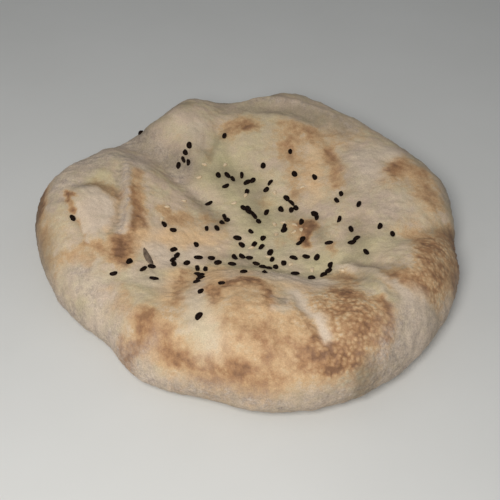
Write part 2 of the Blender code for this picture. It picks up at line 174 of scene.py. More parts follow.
# Browned places: strength, half width, and the route of the stroke.
BROWNING = {
    "left band": (0.34, 3.2, [(-44, 24), (-44, 16), (-43, 8), (-43, 0), (-42, -8)]),
    "left band dark": (0.38, 3.4, [(-44, 12), (-43, 7)]),
    "beside the left band": (0.30, 3.2, [(-41, -2), (-40, -10), (-41, -15)]),
    "left band foot": (0.42, 3.4, [(-41, 2), (-43, -13)]),
    "left dark spot": (0.72, 4.4, [(-46.5, -15.5), (-45, -21)]),
    "left dark spot core": (0.30, 2.0, [(-45, -17), (-45.5, -20)]),
    "under the dark spot": (0.34, 4.0, [(-47, -24), (-44, -27)]),
    "crescent line": (0.66, 1.1, [(-71, 9.5), (-69.5, 5), (-68, 1), (-66, -3)]),
    "crescent branch": (0.60, 1.0, [(-70.5, 8.5), (-66.5, 5)]),
    "crescent arc": (0.40, 3.6, [(-60, 15), (-56, 14.5), (-53, 11.5), (-51.5, 9)]),
    "left lobe line": (0.36, 0.9, [(-63.5, -7), (-61.5, -12), (-60, -18)]),
    "left lobe foot": (0.48, 3.2, [(-59, -18), (-53, -20)]),
    "left lobe foot low": (0.26, 3.4, [(-66, -22), (-58, -25)]),
    # The left edge's browning is partly painted shade, where the side turns away from the light.
    "left edge": (0.95, 4.8, [(-85, 18), (-84, 4)]),
    "left edge end": (0.45, 5.5, [(-83, -1), (-80, -10)]),
    "left side": (0.20, 4.0, [(-76, -16), (-71, -26)]),
    "tan belt": (0.12, 5.0, [(-38, -10), (-29, -10), (-20, -8)]),
    "belt upper": (0.34, 3.2, [(-32, 6), (-27, 4), (-24, 5)]),
    "left of middle": (0.26, 4.2, [(-30, 1), (-24, 1)]),
    "left specks": (0.38, 2.8, [(-15, 6), (-11, 4)]),
    "belt right": (0.16, 4.0, [(-17, 0), (-10, -3)]),
    "wedge": (0.42, 2.2, [(-22, -27), (-22.5, -36), (-23, -48)]),
    "wedge wash": (0.24, 6.5, [(-20, -28), (-21, -42), (-23, -50)]),
    "right of the spill": (0.28, 4.2, [(-11, -26), (-8, -34)]),
    "front arc": (0.58, 2.8, [(-11.5, -52), (-11, -45), (-5, -40.5), (2, -40), (7.5, -45), (8, -53)]),
    "front arc left": (0.56, 3.3, [(-12, -43), (-10, -46), (-9, -50)]),
    "front arc top": (0.34, 4.5, [(-12, -43), (-5, -42), (0, -43)]),
    "front arc cap": (0.12, 5.0, [(-5, -46), (3, -47)]),
    "far left": (0.50, 3.8, [(-34, -52), (-34, -58)]),
    "far left around": (0.18, 5.0, [(-38, -52), (-31, -59)]),
    "lower left": (0.78, 2.8, [(-43.5, -60.5), (-41, -62.5), (-37.5, -62.5)]),
    "left of the wash": (0.22, 5.0, [(-36, -57), (-27, -59)]),
    "low left specks": (0.28, 1.8, [(-52, -38.5), (-48.5, -39.5)]),
    "low left tan": (0.22, 3.0, [(-43, -39), (-42.5, -42)]),
    "low left tan foot": (0.22, 3.4, [(-45, -46), (-41, -47.5)]),
    "right of the dark spot": (0.24, 2.6, [(-47, -26), (-44.5, -29.5)]),
    "lower front left": (0.40, 2.6, [(-33, -64), (-26, -67), (-18, -70.5), (-9, -73), (0, -75)]),
    "lower front left wash": (0.40, 4.8, [(-26, -65), (-21, -68), (-17, -70)]),
    "low front": (0.34, 3.4, [(-12, -75), (0, -77), (10, -78)]),
    "saddle tan": (0.12, 3.5, [(13, -46), (22, -46)]),
    "front tan": (0.34, 10.0, [(-2, -60), (6, -60), (12, -66), (16, -62)]),
    "front tan low": (0.24, 7.0, [(-4, -70), (8, -72), (18, -74)]),
    "low front right": (0.48, 3.6, [(22, -72), (27, -74), (36, -71)]),
    "low front right dark": (0.34, 2.4, [(23, -73), (26, -75)]),
    "bulge olive top": (0.44, 3.8, [(31, -32), (37, -32), (39, -38)]),
    "bulge top": (0.40, 5.0, [(31, -41), (34, -44), (36, -47)]),
    "bulge dark": (0.36, 3.0, [(31, -46), (35, -48)]),
    "under the mark": (0.50, 3.4, [(25, -67), (30, -69)]),
    "bulge right": (0.34, 8.0, [(29, -54), (38, -55), (42, -62)]),
    "network": (0.32, 8.0, [(33, -61), (40, -64), (36, -70)]),
    "dark crescent": (0.60, 2.6, [(47, -50), (50, -56), (48.5, -62)]),
    "right top": (0.30, 5.0, [(66, -13), (76, -14)]),
    "right top dark": (0.34, 4.0, [(77, -8), (84, -10)]),
    "right middle": (0.44, 6.8, [(71, -22), (69, -34)]),
    "right middle left": (0.30, 4.0, [(66, -19), (65, -27)]),
    "right foot": (0.28, 4.0, [(69, -39), (67, -45)]),
    "right low": (0.54, 5.0, [(61, -43), (52, -40)]),
    "right edge": (0.98, 4.6, [(84, -5), (84, -18)]),
    "right edge end": (0.60, 5.2, [(82, -24), (79, -32)]),
    "far side": (0.72, 4.2, [(8, 86), (17, 89)]),
    "far side left": (0.64, 3.6, [(-43, 71), (-36, 75)]),
    "far side right": (0.60, 3.4, [(62, 63), (66, 58)]),
    "right spot": (0.54, 3.4, [(60.5, 23), (63.5, 27)]),
    "right spot around": (0.30, 6.5, [(59, 20), (66, 28)]),
    "right rim": (0.38, 6.4, [(70, 23), (73, 17), (74, 8)]),
    "right rim low": (0.16, 4.5, [(74, 4), (66, -6), (60, -9)]),
    "back dark": (0.55, 3.6, [(1, 54), (5, 55)]),
    "back dark around": (0.40, 5.5, [(-8, 54), (-1, 57)]),
    "back brown": (0.30, 3.4, [(28, 50), (30, 45)]),
    "back brown around": (0.20, 8.0, [(18, 46), (30, 50), (42, 47)]),
    "back brown far": (0.34, 4.5, [(16, 55), (21, 53)]),
    "golden streak": (0.48, 3.6, [(36, 39), (35.5, 34), (38, 27), (38.5, 21)]),
    "back tan": (0.32, 4.2, [(20, 43), (20.5, 30), (21, 18)]),
    "back tan rim": (0.20, 2.2, [(16, 43), (15, 36)]),
    "between the tans": (0.20, 4.0, [(28, 32), (28, 20)]),
    "red spot": (0.88, 3.3, [(24.5, 1), (26, -2)]),
    "red spot low": (0.82, 2.6, [(24, -5), (23.8, -10)]),
    "beside the red spot": (0.30, 3.8, [(19, 1), (19, -4)]),
    "middle yellow": (0.36, 2.4, [(12, -7), (12.5, -10)]),
    "middle gold": (0.34, 3.0, [(6.5, 17), (8.5, 12)]),
    "back gold": (0.26, 2.2, [(-15, 42), (-15, 34)]),
    "crease orange": (0.40, 2.0, [(33, -14), (34, -18)]),
}

# Floured places, greyish lilac.
FLOUR = {
    "valley": (0.95, 5.5, [(-56, 57), (-46, 51), (-35, 42), (-26, 33)]),
    "valley low": (0.45, 3.5, [(-30, 33), (-24, 24), (-17, 17)]),
    "upper left rim": (0.92, 7.5, [(-78, 30), (-70, 41), (-60, 50), (-48, 60)]),
    "left lobe top": (0.75, 6.0, [(-70, 30), (-60, 35), (-50, 37)]),
    "left lobe back": (0.72, 4.5, [(-45, 38), (-43, 30)]),
    "left lobe shoulder": (0.60, 5.0, [(-73, 18), (-66, 23), (-61, 30)]),
    "left ridge": (0.85, 1.7, [(-50, 34), (-49, 22), (-47.5, 8), (-46.5, -4), (-47.5, -11)]),
    "left ridge foot": (0.50, 2.4, [(-51, 24), (-49, 10), (-48, -8)]),
    "back rim": (0.85, 5.5, [(-50, 68), (-30, 78), (0, 81), (22, 86), (44, 74), (62, 60), (78, 40)]),
    "behind the fold": (0.40, 5.0, [(-6, 68), (14, 67), (30, 60), (44, 52)]),
    "fold line": (0.80, 1.5, [(2, 71), (14, 70.5), (26, 67), (37, 60.5), (48, 52)]),
    "right back rim": (0.75, 4.5, [(78, 42), (83, 28), (84, 14)]),
    "beside the crescent": (0.70, 3.0, [(-75, 13), (-69, 15), (-64, 11)]),
    "left side": (0.60, 3.6, [(-78, 24), (-76, 14), (-75, 4)]),
    "low left": (0.50, 7.0, [(-60, -32), (-52, -42), (-46, -50)]),
    "low left field": (0.45, 5.0, [(-61, -30), (-57, -37), (-53, -42)]),
    "lower left side": (0.50, 3.6, [(-48, -55), (-42, -63), (-32, -69)]),
    "beside the husk": (0.20, 4.0, [(-34, -19), (-28, -23)]),
    "crease hollow": (0.22, 4.5, [(-44, -31), (-34, -33), (-28, -34)]),
    "front right": (0.90, 6.5, [(58, -53), (55, -61), (47, -73)]),
    "far front right": (0.85, 6.5, [(66, -54), (60, -62), (52, -73)]),
    "front left patch": (0.40, 3.0, [(-38, -63), (-31, -63)]),
    "pucker": (0.60, 1.9, [(11, -50.5), (14, -51)]),
    "right field": (0.42, 8.0, [(46, 34), (50, 14), (56, -2)]),
    "among the seeds": (0.30, 4.5, [(26, 14), (34, 4)]),
    "below the middle": (0.30, 4.0, [(2, -13), (14, -13)]),
}

# Flour also covers the side, together with painted shade that darkens the side towards the board.
# Both start, and are full, where these shares of the height are left.
FLOUR_AND_SHADE_START = 0.80
FLOUR_AND_SHADE_FULL = 0.42
SIDE_FLOUR_AND_SHADE = 0.85

# Low on the side, at these shares of the height, browning fades and strokes get more uneven.
LOW_START = 0.42
LOW_FULL = 0.12
LOW_BROWNING = 0.2
LOW_DRIFT = 2.5

# Where the crumb shows yellow-olive, and the pale places: skin stretched smooth, and painted light on
# some slopes that face away from the lamps.
OLIVE = {
    "middle": (0.78, 11.5, [(-8, 30), (0, 18), (6, 6), (10, -12)]),
    "dome foot": (0.60, 5.0, [(-12, 48), (-13, 38), (-15, 30)]),
    "back": (0.40, 10.0, [(2, 46), (8, 56)]),
    "right valley": (0.65, 7.0, [(26, -22), (38, -20), (50, -18)]),
    "crease": (0.60, 4.5, [(-32, -30), (-12, -25), (8, -28), (30, -32)]),
    "saddle": (0.50, 4.0, [(12, -36), (14, -44)]),
    "front left": (0.58, 6.0, [(-14, -54), (-12, -64)]),
    "front left hollow": (0.36, 5.5, [(-34, -36), (-33, -45)]),
    "crescent": (0.55, 3.6, [(-63, 18), (-58, 20), (-53, 17)]),
    "left end": (0.45, 3.2, [(-43.5, -32), (-42, -37)]),
    "low left edge": (0.40, 2.4, [(-60, -41), (-56, -43.5)]),
    "right of the bulge": (0.50, 3.0, [(46, -36), (45, -44), (50, -50)]),
}
# Pale places: stretched skin, and painted light that lightens some slopes facing away from the lamps.
PALE = {
    "front left": (0.38, 6.0, [(-15, -56), (-11, -66)]),
    "spill": (0.35, 2.2, [(-16, -38), (-17, -50)]),
    "stretch mark": (0.78, 1.9, [(17.5, -46), (21, -53), (24.6, -60), (27.8, -66.5)]),
    "stretch mark top": (0.40, 3.2, [(16, -45), (19, -49)]),
    "stretch mark low": (0.24, 2.1, [(24, -58), (27, -64)]),
    "right ridge": (0.80, 1.8, [(52.5, -43), (56.5, -49.5)]),
    "bulge back": (0.55, 1.7, [(10, -55), (15, -55)]),
    "inner lobe": (0.84, 4.4, [(-60, 8), (-58.5, 2), (-57.5, -9)]),
    "inner lobe streak": (0.60, 0.9, [(-65, 0), (-62, -8), (-59.5, -17)]),
    "left ridge side": (0.60, 1.0, [(-43.5, 2), (-45, -5), (-46, -11)]),
    "belt middle": (0.50, 3.6, [(-18, -13), (-12, -13)]),
    "under the front arc": (0.30, 3.5, [(-19, -44), (-17, -52)]),
    "right back field": (0.74, 6.0, [(51, 24), (51, 33), (60, 36)]),
    "far right field": (0.30, 5.0, [(62, 6), (66, -2)]),
    "crease hollow": (0.30, 4.0, [(-40, -33), (-33, -35)]),
    "left lobe back": (0.60, 4.2, [(-45, 39), (-43, 31)]),
    "left hollow": (0.40, 4.0, [(-33, -17), (-30, -21)]),
    "back dome": (0.35, 8.0, [(-30, 56), (-22, 56)]),
    "back dome right": (0.62, 4.5, [(-21, 51), (-20, 44)]),
    "beside the husk": (0.75, 4.8, [(-35, -17), (-27, -20), (-20, -18)]),
    "saddle": (0.88, 5.4, [(12, -33), (19, -35), (27, -37)]),
    "behind the crest": (0.40, 3.5, [(-6, -29), (-3, -35)]),
    "belt top": (0.40, 3.5, [(-36, -1), (-35, -7)]),
    "inner lobe right": (0.88, 2.6, [(-54.5, 6), (-53.5, 0), (-53, -7)]),
    "front right side": (0.45, 4.0, [(60, -47), (61, -53)]),
    "front right side low": (0.68, 3.8, [(57, -60), (63, -59)]),
    "left side": (0.10, 3.6, [(-67, -30), (-62, -37)]),
    "left side low": (0.40, 3.2, [(-56, -45), (-50, -50)]),
    "beside the left nick": (0.35, 1.6, [(-54, -25), (-54.5, -30)]),
    "low left": (0.28, 2.8, [(-57, -36), (-52, -35)]),
    "crease sill": (0.55, 1.5, [(34, -25), (42, -29), (47, -35), (50, -42)]),
    "second crease sill": (0.40, 1.1, [(43, -37), (47, -43), (49, -50)]),
    "under the right ridge": (0.30, 1.2, [(40, -40), (44, -46)]),
}
# Where the crust has baked to a light gold, and painted light on some slopes behind the front crest.
GOLD = {
    "belt": (0.74, 7.0, [(-39, -11), (-28, -9), (-15, -9)]),
    "belt left": (0.45, 5.0, [(-33, -18), (-30, -16)]),
    "arc side": (0.60, 1.8, [(-51.5, 7), (-50.8, 0), (-51.5, -10)]),
    "right of the spill": (0.70, 5.0, [(-12, -27), (-10, -38)]),
    "front crest": (0.30, 5.5, [(-8, -46), (-2, -42), (6, -43), (9, -48)]),
    "wedge": (0.60, 5.4, [(-23, -29), (-27, -44)]),
    "behind the crest": (0.75, 4.6, [(-9, -28), (-1, -34)]),
    "front dome": (0.30, 6.0, [(9, -57), (17, -61)]),
    "front dome left": (0.30, 5.0, [(-12, -50), (-10, -58)]),
    "saddle front": (0.40, 4.0, [(13, -42), (22, -41)]),
    "golden streak": (0.50, 3.6, [(29, 40), (29, 30), (28.5, 14)]),
    "bulge back": (0.35, 4.0, [(10, -36), (16, -40), (24, -40)]),
}

# Painted shade: dark hollows and lines at the foot of folds, and darker edges and rims where the
# bread turns away from the light.
SHADOW_LINES = {
    "valley top": (0.36, 5.0, [(-46, 60), (-45, 53), (-43, 47), (-34, 40)]),
    "valley middle": (0.34, 5.0, [(-29, 36), (-21, 30)]),
    "valley dome side": (0.26, 5.0, [(-37, 62), (-36, 54)]),
    "fold hollow": (0.25, 4.0, [(24, 64), (32, 60)]),
    "olive hollow": (0.27, 7.0, [(-24, 40), (-16, 32), (-6, 24)]),
    "under the back seeds": (0.40, 4.5, [(-8, 30), (-1, 28), (5, 21)]),
    "middle": (0.42, 5.0, [(3, 14), (6, 6)]),
    "foot of the golden streak": (0.18, 3.6, [(42, 21), (42, 16)]),
    "among the right row": (0.22, 4.0, [(20, 16), (14, 8)]),
    "seed row": (0.36, 3.4, [(-14, -18), (-4, -18), (5, -20)]),
    "above the red spot": (0.28, 3.6, [(20, 6), (24, 5), (29, 3)]),
    "beside the red spot": (0.44, 3.0, [(29, -4), (30, -10)]),
    "beside the right valley": (0.12, 4.0, [(36, -14), (53, -10)]),
    "right valley": (0.38, 4.5, [(43, -4), (43, -16), (44, -25), (45, -34)]),
    "right low hollow": (0.22, 4.0, [(52, -34), (52, -43), (51, -50)]),
    "left side": (0.14, 5.0, [(-78, 12), (-78, 0), (-77, -12), (-73, -22), (-68, -32)]),
    "left edge": (0.64, 4.2, [(-86, 22), (-86, 6), (-84, -6)]),
    "left side low": (0.34, 4.5, [(-78, -13), (-75, -20)]),
    "right back rim": (0.24, 5.0, [(72, 44), (82, 26), (85, 2)]),
    "left back rim": (0.14, 5.0, [(-76, 34), (-64, 50), (-50, 62)]),
    "right side": (0.20, 4.5, [(84, -6), (80, -18), (77, -32)]),
    "low right": (0.52, 3.2, [(39, -76), (43, -72.5)]),
    "low right side": (0.14, 3.2, [(50, -68), (56, -67)]),
    "left nick": (0.18, 1.2, [(-59, -33), (-57, -31), (-56, -28)]),
    "right of the flour": (0.20, 3.0, [(66, -50), (68, -54)]),
    "low left side": (0.16, 3.6, [(-62, -42), (-56, -50)]),
    "front foot": (0.18, 3.0, [(-20, -76), (0, -81), (20, -82), (38, -77)]),
    "behind the fold": (0.42, 4.5, [(-10, 68), (4, 68), (16, 66)]),
    "behind the fold right": (0.30, 4.0, [(24, 62), (34, 58), (44, 51)]),
    "under the fold line": (0.34, 2.2, [(20, 66), (28, 64.5), (36, 60), (43, 54)]),
    "far back": (0.45, 5.0, [(-42, 64), (-34, 68), (-29, 66)]),
    "back rim": (0.48, 5.0, [(-12, 79), (2, 80), (14, 79)]),
    "front crease": (0.30, 1.2, [(-14, -22), (-4, -22), (6, -24), (16, -29), (26, -31), (34, -28)]),
    "beside the crease ridge": (0.40, 1.3, [(37, -23), (47, -28), (57, -36)]),
    "crease fold": (0.35, 1.2, [(36, -31), (42, -36), (46, -43)]),
    "dome foot": (0.30, 1.8, [(-9, 54), (-13, 45), (-15, 36)]),
    "valley foot": (0.38, 4.0, [(-21, 16), (-13, 9), (-11, 2)]),
    "crescent": (0.32, 3.2, [(-63, 14), (-58, 16), (-54, 14)]),
    "left ridge": (0.40, 1.1, [(-52, 27), (-51, 13), (-50, 0), (-50, -12)]),
    "right notch": (0.35, 2.0, [(90, 2), (80, -4), (70, -9)]),
    "pucker": (0.34, 1.4, [(12, -51), (13.5, -51)]),
}

# Where the crust is covered with small blisters, browned in the gaps and pale on top, the pale
# partly a painted highlight.
NETWORK = {
    "front right": (1.0, 11.0, [(32, -54), (40, -60), (36, -70)]),
    "front right around": (0.45, 17.0, [(24, -54), (30, -66)]),
    "right rim": (0.80, 9.0, [(76, -20), (69, -28), (66, -40)]),
}

# Dabs along each stroke, how steeply its edge falls, and layers of noise that shift the edge: how far
# and how large.
STROKE_STEPS = 16
STROKE_EDGE = 1.3
DRIFT = ((1.2, 10.0), (0.9, 3.5), (0.4, 1.4))

# Uneven baking. Mottle is broad noise and dapple is finer, each from about -1 to 1. The tables say how
# much of it goes into each mask, "bare" into crust with no stroke, and "low" into the side's edge.
MOTTLE_SIZE = 8.0
MOTTLE_LAYERS = 4
DAPPLE_SIZE = 3.2
MOTTLED = {"low": 0.12, "browning": 0.16, "bare": 0.04, "olive": 0.3, "stretched_and_lit": 0.25, "golden": 0.3}
DAPPLED = {"browning": 0.22, "flour_and_shade": 0.30, "bare": 0.08, "network": 0.35}

# All dough is baked a little. Dapple grows with the browning, from a base up to a limit.
BASE_BROWNING = 0.05
BROWNING_LIMIT = 1.2
DAPPLE_BASE = 0.15
DAPPLE_LIMIT = 0.8

# Pale places lose these shares of their browning and of their flour and painted shade, and dark crust
# this share of its flour and painted shade, from a start of browning over a span.
PALE_BROWNING_LOSS = 0.7
PALE_FLOUR_AND_SHADE_LOSS = 0.6
DARK_FLOUR_AND_SHADE_LOSS = 0.8
DARK_START = 0.55
DARK_SPAN = 0.4

# The crust's colours from pale dough to dark brown, and the tints laid over them.
PALE_DOUGH = (211, 194, 160)
PINK_DOUGH = (210, 186, 161)
TAN = (206, 170, 127)
BROWN = (172, 129, 89)
DARK_BROWN = (134, 96, 66)
OLIVE_DOUGH = (202, 190, 148)
# Pale stretched skin, also laid on as painted light.
STRETCHED_AND_LIT = (223, 203, 180)
GOLDEN = (238, 198, 150)
# Flour dust, which on the side also stands for painted shade.
FLOUR_AND_SHADE_LIGHT = (211, 195, 177)
FLOUR_AND_SHADE_DARK = (145, 129, 121)
SHADOW_GREY = (112, 100, 78)
BAKED_STOPS = [(0.0, PALE_DOUGH), (0.34, TAN), (0.64, BROWN), (0.92, DARK_BROWN)]
CRUST_ROUGHNESS = 0.75

# Noises in the crust's material, from clouds down to dust: size, detail and roughness.
GRAINS = {
    "clouds": (7.0, 3, 0.6),
    "dapple": (2.6, 4, 0.6),
    "fine": (1.1, 4, 0.6),
    "speckle": (0.75, 2, 0.6),
    "grain": (0.45, 3, 0.6),
}

# The network's blisters: their size, and how far noise bends them.
NETWORK_CELL = 1.8
NETWORK_WARP = 0.5

# Coats in two shades: both shades, the size of the patches between them, and the roughness.
COATS = {
    "nigella_coat": ((18, 8, 3), (44, 26, 18), 0.7, 0.55),
    "sesame_coat": ((220, 199, 166), (195, 167, 130), 1.3, 0.55),
    "dry_husk": ((92, 76, 61), (140, 120, 100), 1.6, 0.6),
    "pale_floor": ((214, 214, 210), (222, 222, 219), 60, 0.85),
}
NIGELLA_SHINE = 0.08
NIGELLA_NET = 0.28
SESAME_GRAIN = 0.3
HUSK_GRAIN = 0.5

# Ranges in the materials: the low and high end of a noise, mask or distance, and what they become. A
# coat's own row says how its patches go over from one shade to the other.
RANGES = {
    "uneven browning": (0.3, 0.7, -0.08, 0.08),
    "blister highlight and browning": (0.12, 0.68, -0.24, 0.18),
    "blister tops": (0.1, 0.7, 1, 0),
    "pink clouds": (0.4, 0.6, 0, 1),
    "pink left by browning": (0.05, 0.3, 1, 0),
    "olive left by browning": (0.1, 0.7, 1, 0.1),
    "gold left by browning": (0.3, 0.8, 1, 0.1),
    "speckled dust": (0.32, 0.68, 0, 0.65),
    "dappled dust": (0.35, 0.65, 0, 0.5),
    "dusting_and_shade": (0.28, 0.62, 0.45, 1),
    "dusty roughness": (0, 1, 0.66, 0.9),
    "grain": (0.3, 0.7, 0.84, 1.14),
    "nigella roughness": (0.3, 0.7, 0.48, 0.68),
    "nigella_coat": (0.45, 0.8, 0, 1),
    "sesame_coat": (0.42, 0.7, 0, 1),
    "dry_husk": (0.35, 0.7, 0, 1),
    "pale_floor": (0, 1, 0, 1),
}

# Bumps in the materials: how high a height of 1 stands, and how strongly it shows.
BUMPS = {
    "fine": (0.35, 0.5),
    "blisters": (0.35, 0.7),
    "grain": (0.12, 0.6),
    "nigella net": (0.09, 0.8),
    "sesame grain": (0.05, 0.6),
    "husk grain": (0.10, 0.7),
}

# A seed's length, width and thickness, and how sharp the ridges along it are.
NIGELLA_SIZE, NIGELLA_EDGE = (3.2, 1.95, 1.5), 0.16
SESAME_SIZE, SESAME_EDGE = (2.6, 1.5, 0.9), 0.0
HUSK_SIZE, HUSK_EDGE = (8.8, 2.9, 0.9), 0.05

# How much of a seed's thickness is sunk in the crust, how much its size may differ and how far it may
# bend, all as shares, and the range that its girth wanders in.
SEED_SUNK = 0.36
SIZE_SPREAD = 0.15
BEND_SPREAD = 0.10
GIRTH_RANGE = (0.97, 1.03)

# Trails of seeds: count, spread to each side, the way they point and how far that may turn, in
# degrees, and the route.
NIGELLA_TRAILS = {
    "back left row": (3, 0.3, 70, 30, [(-23.8, 41.6), (-26.4, 37.6)]),
    "back left foot": (2, 0.2, 95, 20, [(-28.2, 35.8), (-24.0, 35.6)]),
    "back centre row": (4, 0.3, 110, 25, [(-11, 29.2), (-7.4, 29.6), (-5.3, 28), (-1.5, 30)]),
    "back centre foot": (1, 0.2, 47, 15, [(-8, 24)]),
    "back centre right": (3, 0.3, 60, 30, [(3, 27), (1.2, 25.5), (0.8, 21.4)]),
    "back pair": (2, 0.2, 58, 10, [(8.8, 21.8), (10.6, 24.6)]),
    "back lone": (2, 0.3, 83, 10, [(7.8, 34), (19.4, 41)]),
    "back right": (2, 0.3, 95, 10, [(20.5, 27.9), (28.7, 25)]),
    "far lone": (1, 0.0, 92, 5, [(-9, 51)]),
    "outline lone": (1, 0.0, 74, 5, [(-46.5, 58.6)]),
    "left of the middle row": (1, 0.0, 39, 10, [(-15, 16.5)]),
    "long row": (4, 0.2, 128, 12, [(-0.4, 12.4), (1.6, 10), (3.6, 7.6), (5.6, 4.6)]),
    "long row head": (2, 0.2, 128, 10, [(1, 12.4), (2.8, 10)]),
    "beside the long row": (1, 0.2, 64, 10, [(8.9, 9.6)]),
    "right row": (3, 0.2, 124, 12, [(17, 16.2), (18.9, 13.6), (20.8, 11.4)]),
    "right row foot": (2, 0.2, 104, 25, [(15, 11.2), (18.7, 10.3)]),
    "middle right": (3, 0.3, 112, 30, [(27.8, 6.2), (28.2, 3.6), (22.6, 3)]),
    "under the right row": (2, 0.2, 85, 25, [(15.8, 1.6), (15.6, -0.8)]),
    "low right": (2, 0.2, 62, 30, [(22.8, -7), (21.2, -9)]),
    "far right pair": (2, 0.2, 95, 40, [(38.8, 14.2), (37, 10.6)]),
    "far right": (3, 0.3, 86, 25, [(45.4, 5.6), (37.2, 0), (41, -7.2)]),
    "rightmost": (2, 0.3, 83, 8, [(52, -8.4), (56, -12.6)]),
    "right crease": (3, 0.3, 10, 30, [(32.6, -12.2), (41, -14), (43, -12.8)]),
    "right crease end": (1, 0.2, 109, 10, [(45.8, -20.3)]),
    "centre left": (3, 0.2, 110, 30, [(-8.2, 8), (-7, 6.3), (-9.2, 4.2)]),
    "centre left foot": (2, 0.2, 102, 10, [(-11.3, 0), (-15, -0.5)]),
    "left upper": (1, 0.2, 113, 10, [(-31.8, -2.6)]),
    "left lower": (1, 0.2, 26, 10, [(-28.1, -4.6)]),
    "left of middle": (1, 0.0, 105, 5, [(-19, -10.4)]),
    "middle top": (3, 0.3, 120, 45, [(2.4, -1.5), (-3.2, -5), (-1.3, -9)]),
    "middle right side": (3, 0.3, 60, 12, [(7.5, -5.8), (3.8, -8.6), (6.4, -10.6)]),
    "middle foot": (2, 0.3, 73, 12, [(10.1, -13.5), (10.3, -17.9)]),
    "left crease": (4, 0.3, 65, 30, [(-27.3, -15), (-25.8, -17.8), (-26.7, -21), (-26, -23.6)]),
    "left crease right": (1, 0.2, 57, 10, [(-21.9, -21.8)]),
    "crease left": (4, 0.3, 8, 30, [(-17.5, -18.2), (-12.8, -17.7), (-10, -19.6), (-4.8, -20)]),
    "crease arc": (5, 0.3, 145, 30, [(-3.6, -16.1), (-0.8, -15), (1.6, -16.6), (4.5, -19.6), (6.7, -22.6)]),
    "crease right start": (1, 0.2, 0, 10, [(8.8, -24)]),
    "crease right": (2, 0.3, 105, 18, [(12.1, -22.4), (14.6, -20.2)]),
    "above the crease": (3, 0.3, 105, 45, [(18.8, -17.6), (23.4, -17.6), (27.2, -18.6)]),
    "crease right end": (4, 0.3, 20, 20, [(18.6, -27.8), (24.6, -31.6), (29, -29.6), (31.6, -27.2)]),
    "crease right tip": (1, 0.2, 75, 10, [(32.5, -24)]),
    "bulge right": (1, 0.2, 97, 10, [(7.7, -31.2)]),
    "bulge top": (1, 0.2, 27, 10, [(0, -31.6)]),
    "bulge left": (1, 0.2, 148, 10, [(-7.9, -40.8)]),
    "spill top": (2, 0.3, 75, 25, [(-17.5, -24), (-14.5, -24.2)]),
    "spill": (4, 0.4, 22, 25, [(-17.4, -27.4), (-16.4, -29.6), (-16.2, -32.4), (-17, -35)]),
    "front lone": (2, 0.2, 67, 8, [(-14.9, -44.3), (-14.8, -57.4)]),
    "left group": (2, 0.3, 62, 20, [(-42.8, -25.6), (-37.1, -28.4)]),
    "beside the husk": (2, 0.3, 8, 12, [(-34.4, -26.2), (-33.1, -33)]),
    "left end": (1, 0.0, 20, 10, [(-47.7, -31.6)]),
    "left lone": (1, 0.0, 125, 5, [(-66.3, -5.4)]),
}
SESAME_TRAILS = {
    "sesame right": (6, 1.8, 60, 90, [(12, 4), (17, 1), (22, -4), (13, -2)]),
    "sesame middle": (4, 2.4, 60, 90, [(22, 20), (6, 18), (-3, 18)]),
    "sesame back": (4, 2.0, 60, 90, [(-9, 36), (-17, 33), (-21, 28), (-26, 13)]),
    "sesame crease": (5, 1.6, 60, 90, [(3, -10), (10, -16), (17, -20), (24, -27), (37, -27)]),
    "sesame left": (2, 1.5, 60, 90, [(-33, 1), (-30, 8)]),
}
HUSK_TRAILS = {
    "husk": (1, 0.0, -66, 0, [(-36.1, -21.4)]),
}

# A seed that would lie closer than the gap to an earlier one is drawn again, up to a number of tries.
# The draws of places and of forms each have their own start.
SEED_GAP = 1.8
PLACE_TRIES = 30
PLACE_DRAW = 20
FORM_DRAW = 5

# A fine seed's rings along its length: share of the length, and share of the girth there.
NIGELLA_RINGS = [(0.03, 0.42), (0.10, 0.68), (0.22, 0.88), (0.38, 0.98), (0.54, 1.0), (0.70, 0.94),
                 (0.83, 0.78), (0.93, 0.54), (0.98, 0.32)]
SESAME_RINGS = [(0.04, 0.22), (0.12, 0.42), (0.25, 0.66), (0.40, 0.86), (0.56, 0.99), (0.70, 1.0),
                (0.83, 0.86), (0.92, 0.62), (0.98, 0.32)]
SEED_SIDES = 12
SEED_EDGES = 4

# The step that a slope is measured over, the directions sampled to find the outline's middle, and the
# height that a seed is dropped from onto the crust.
SLOPE_STEP = 0.4
OUTLINE_SAMPLES = 3601
DROP_HEIGHT = 100


def smooth_step(share):
    """A soft ramp from 0 to 1."""
    share = np.clip(share, 0, 1)
    return share * share * (3 - 2 * share)


def around_rim(direction, column):
    """One column of the rim's table as a smooth closed curve over all directions, in radians."""
    knots = sorted(RIM)
    turns = [knot - 360 for knot in knots[-2:]] + knots + [knot + 360 for knot in knots[:2]]
    turns = np.array(turns, dtype=float)
    values = np.array([RIM[turn % 360][column] for turn in turns.astype(int)], dtype=float)
    slopes = np.zeros(len(values))
    slopes[1:-1] = (values[2:] - values[:-2]) / (turns[2:] - turns[:-2])
    turn = np.degrees(direction) % 360
    start = np.clip(np.searchsorted(turns, turn, side="right") - 1, 1, len(turns) - 3)
    gap = turns[start + 1] - turns[start]
    t = (turn - turns[start]) / gap
    level = values[start] * (1 + 2 * t) * (1 - t) ** 2 + values[start + 1] * t * t * (3 - 2 * t)
    lean = slopes[start] * t * (1 - t) ** 2 + slopes[start + 1] * t * t * (t - 1)
    return level + gap * lean


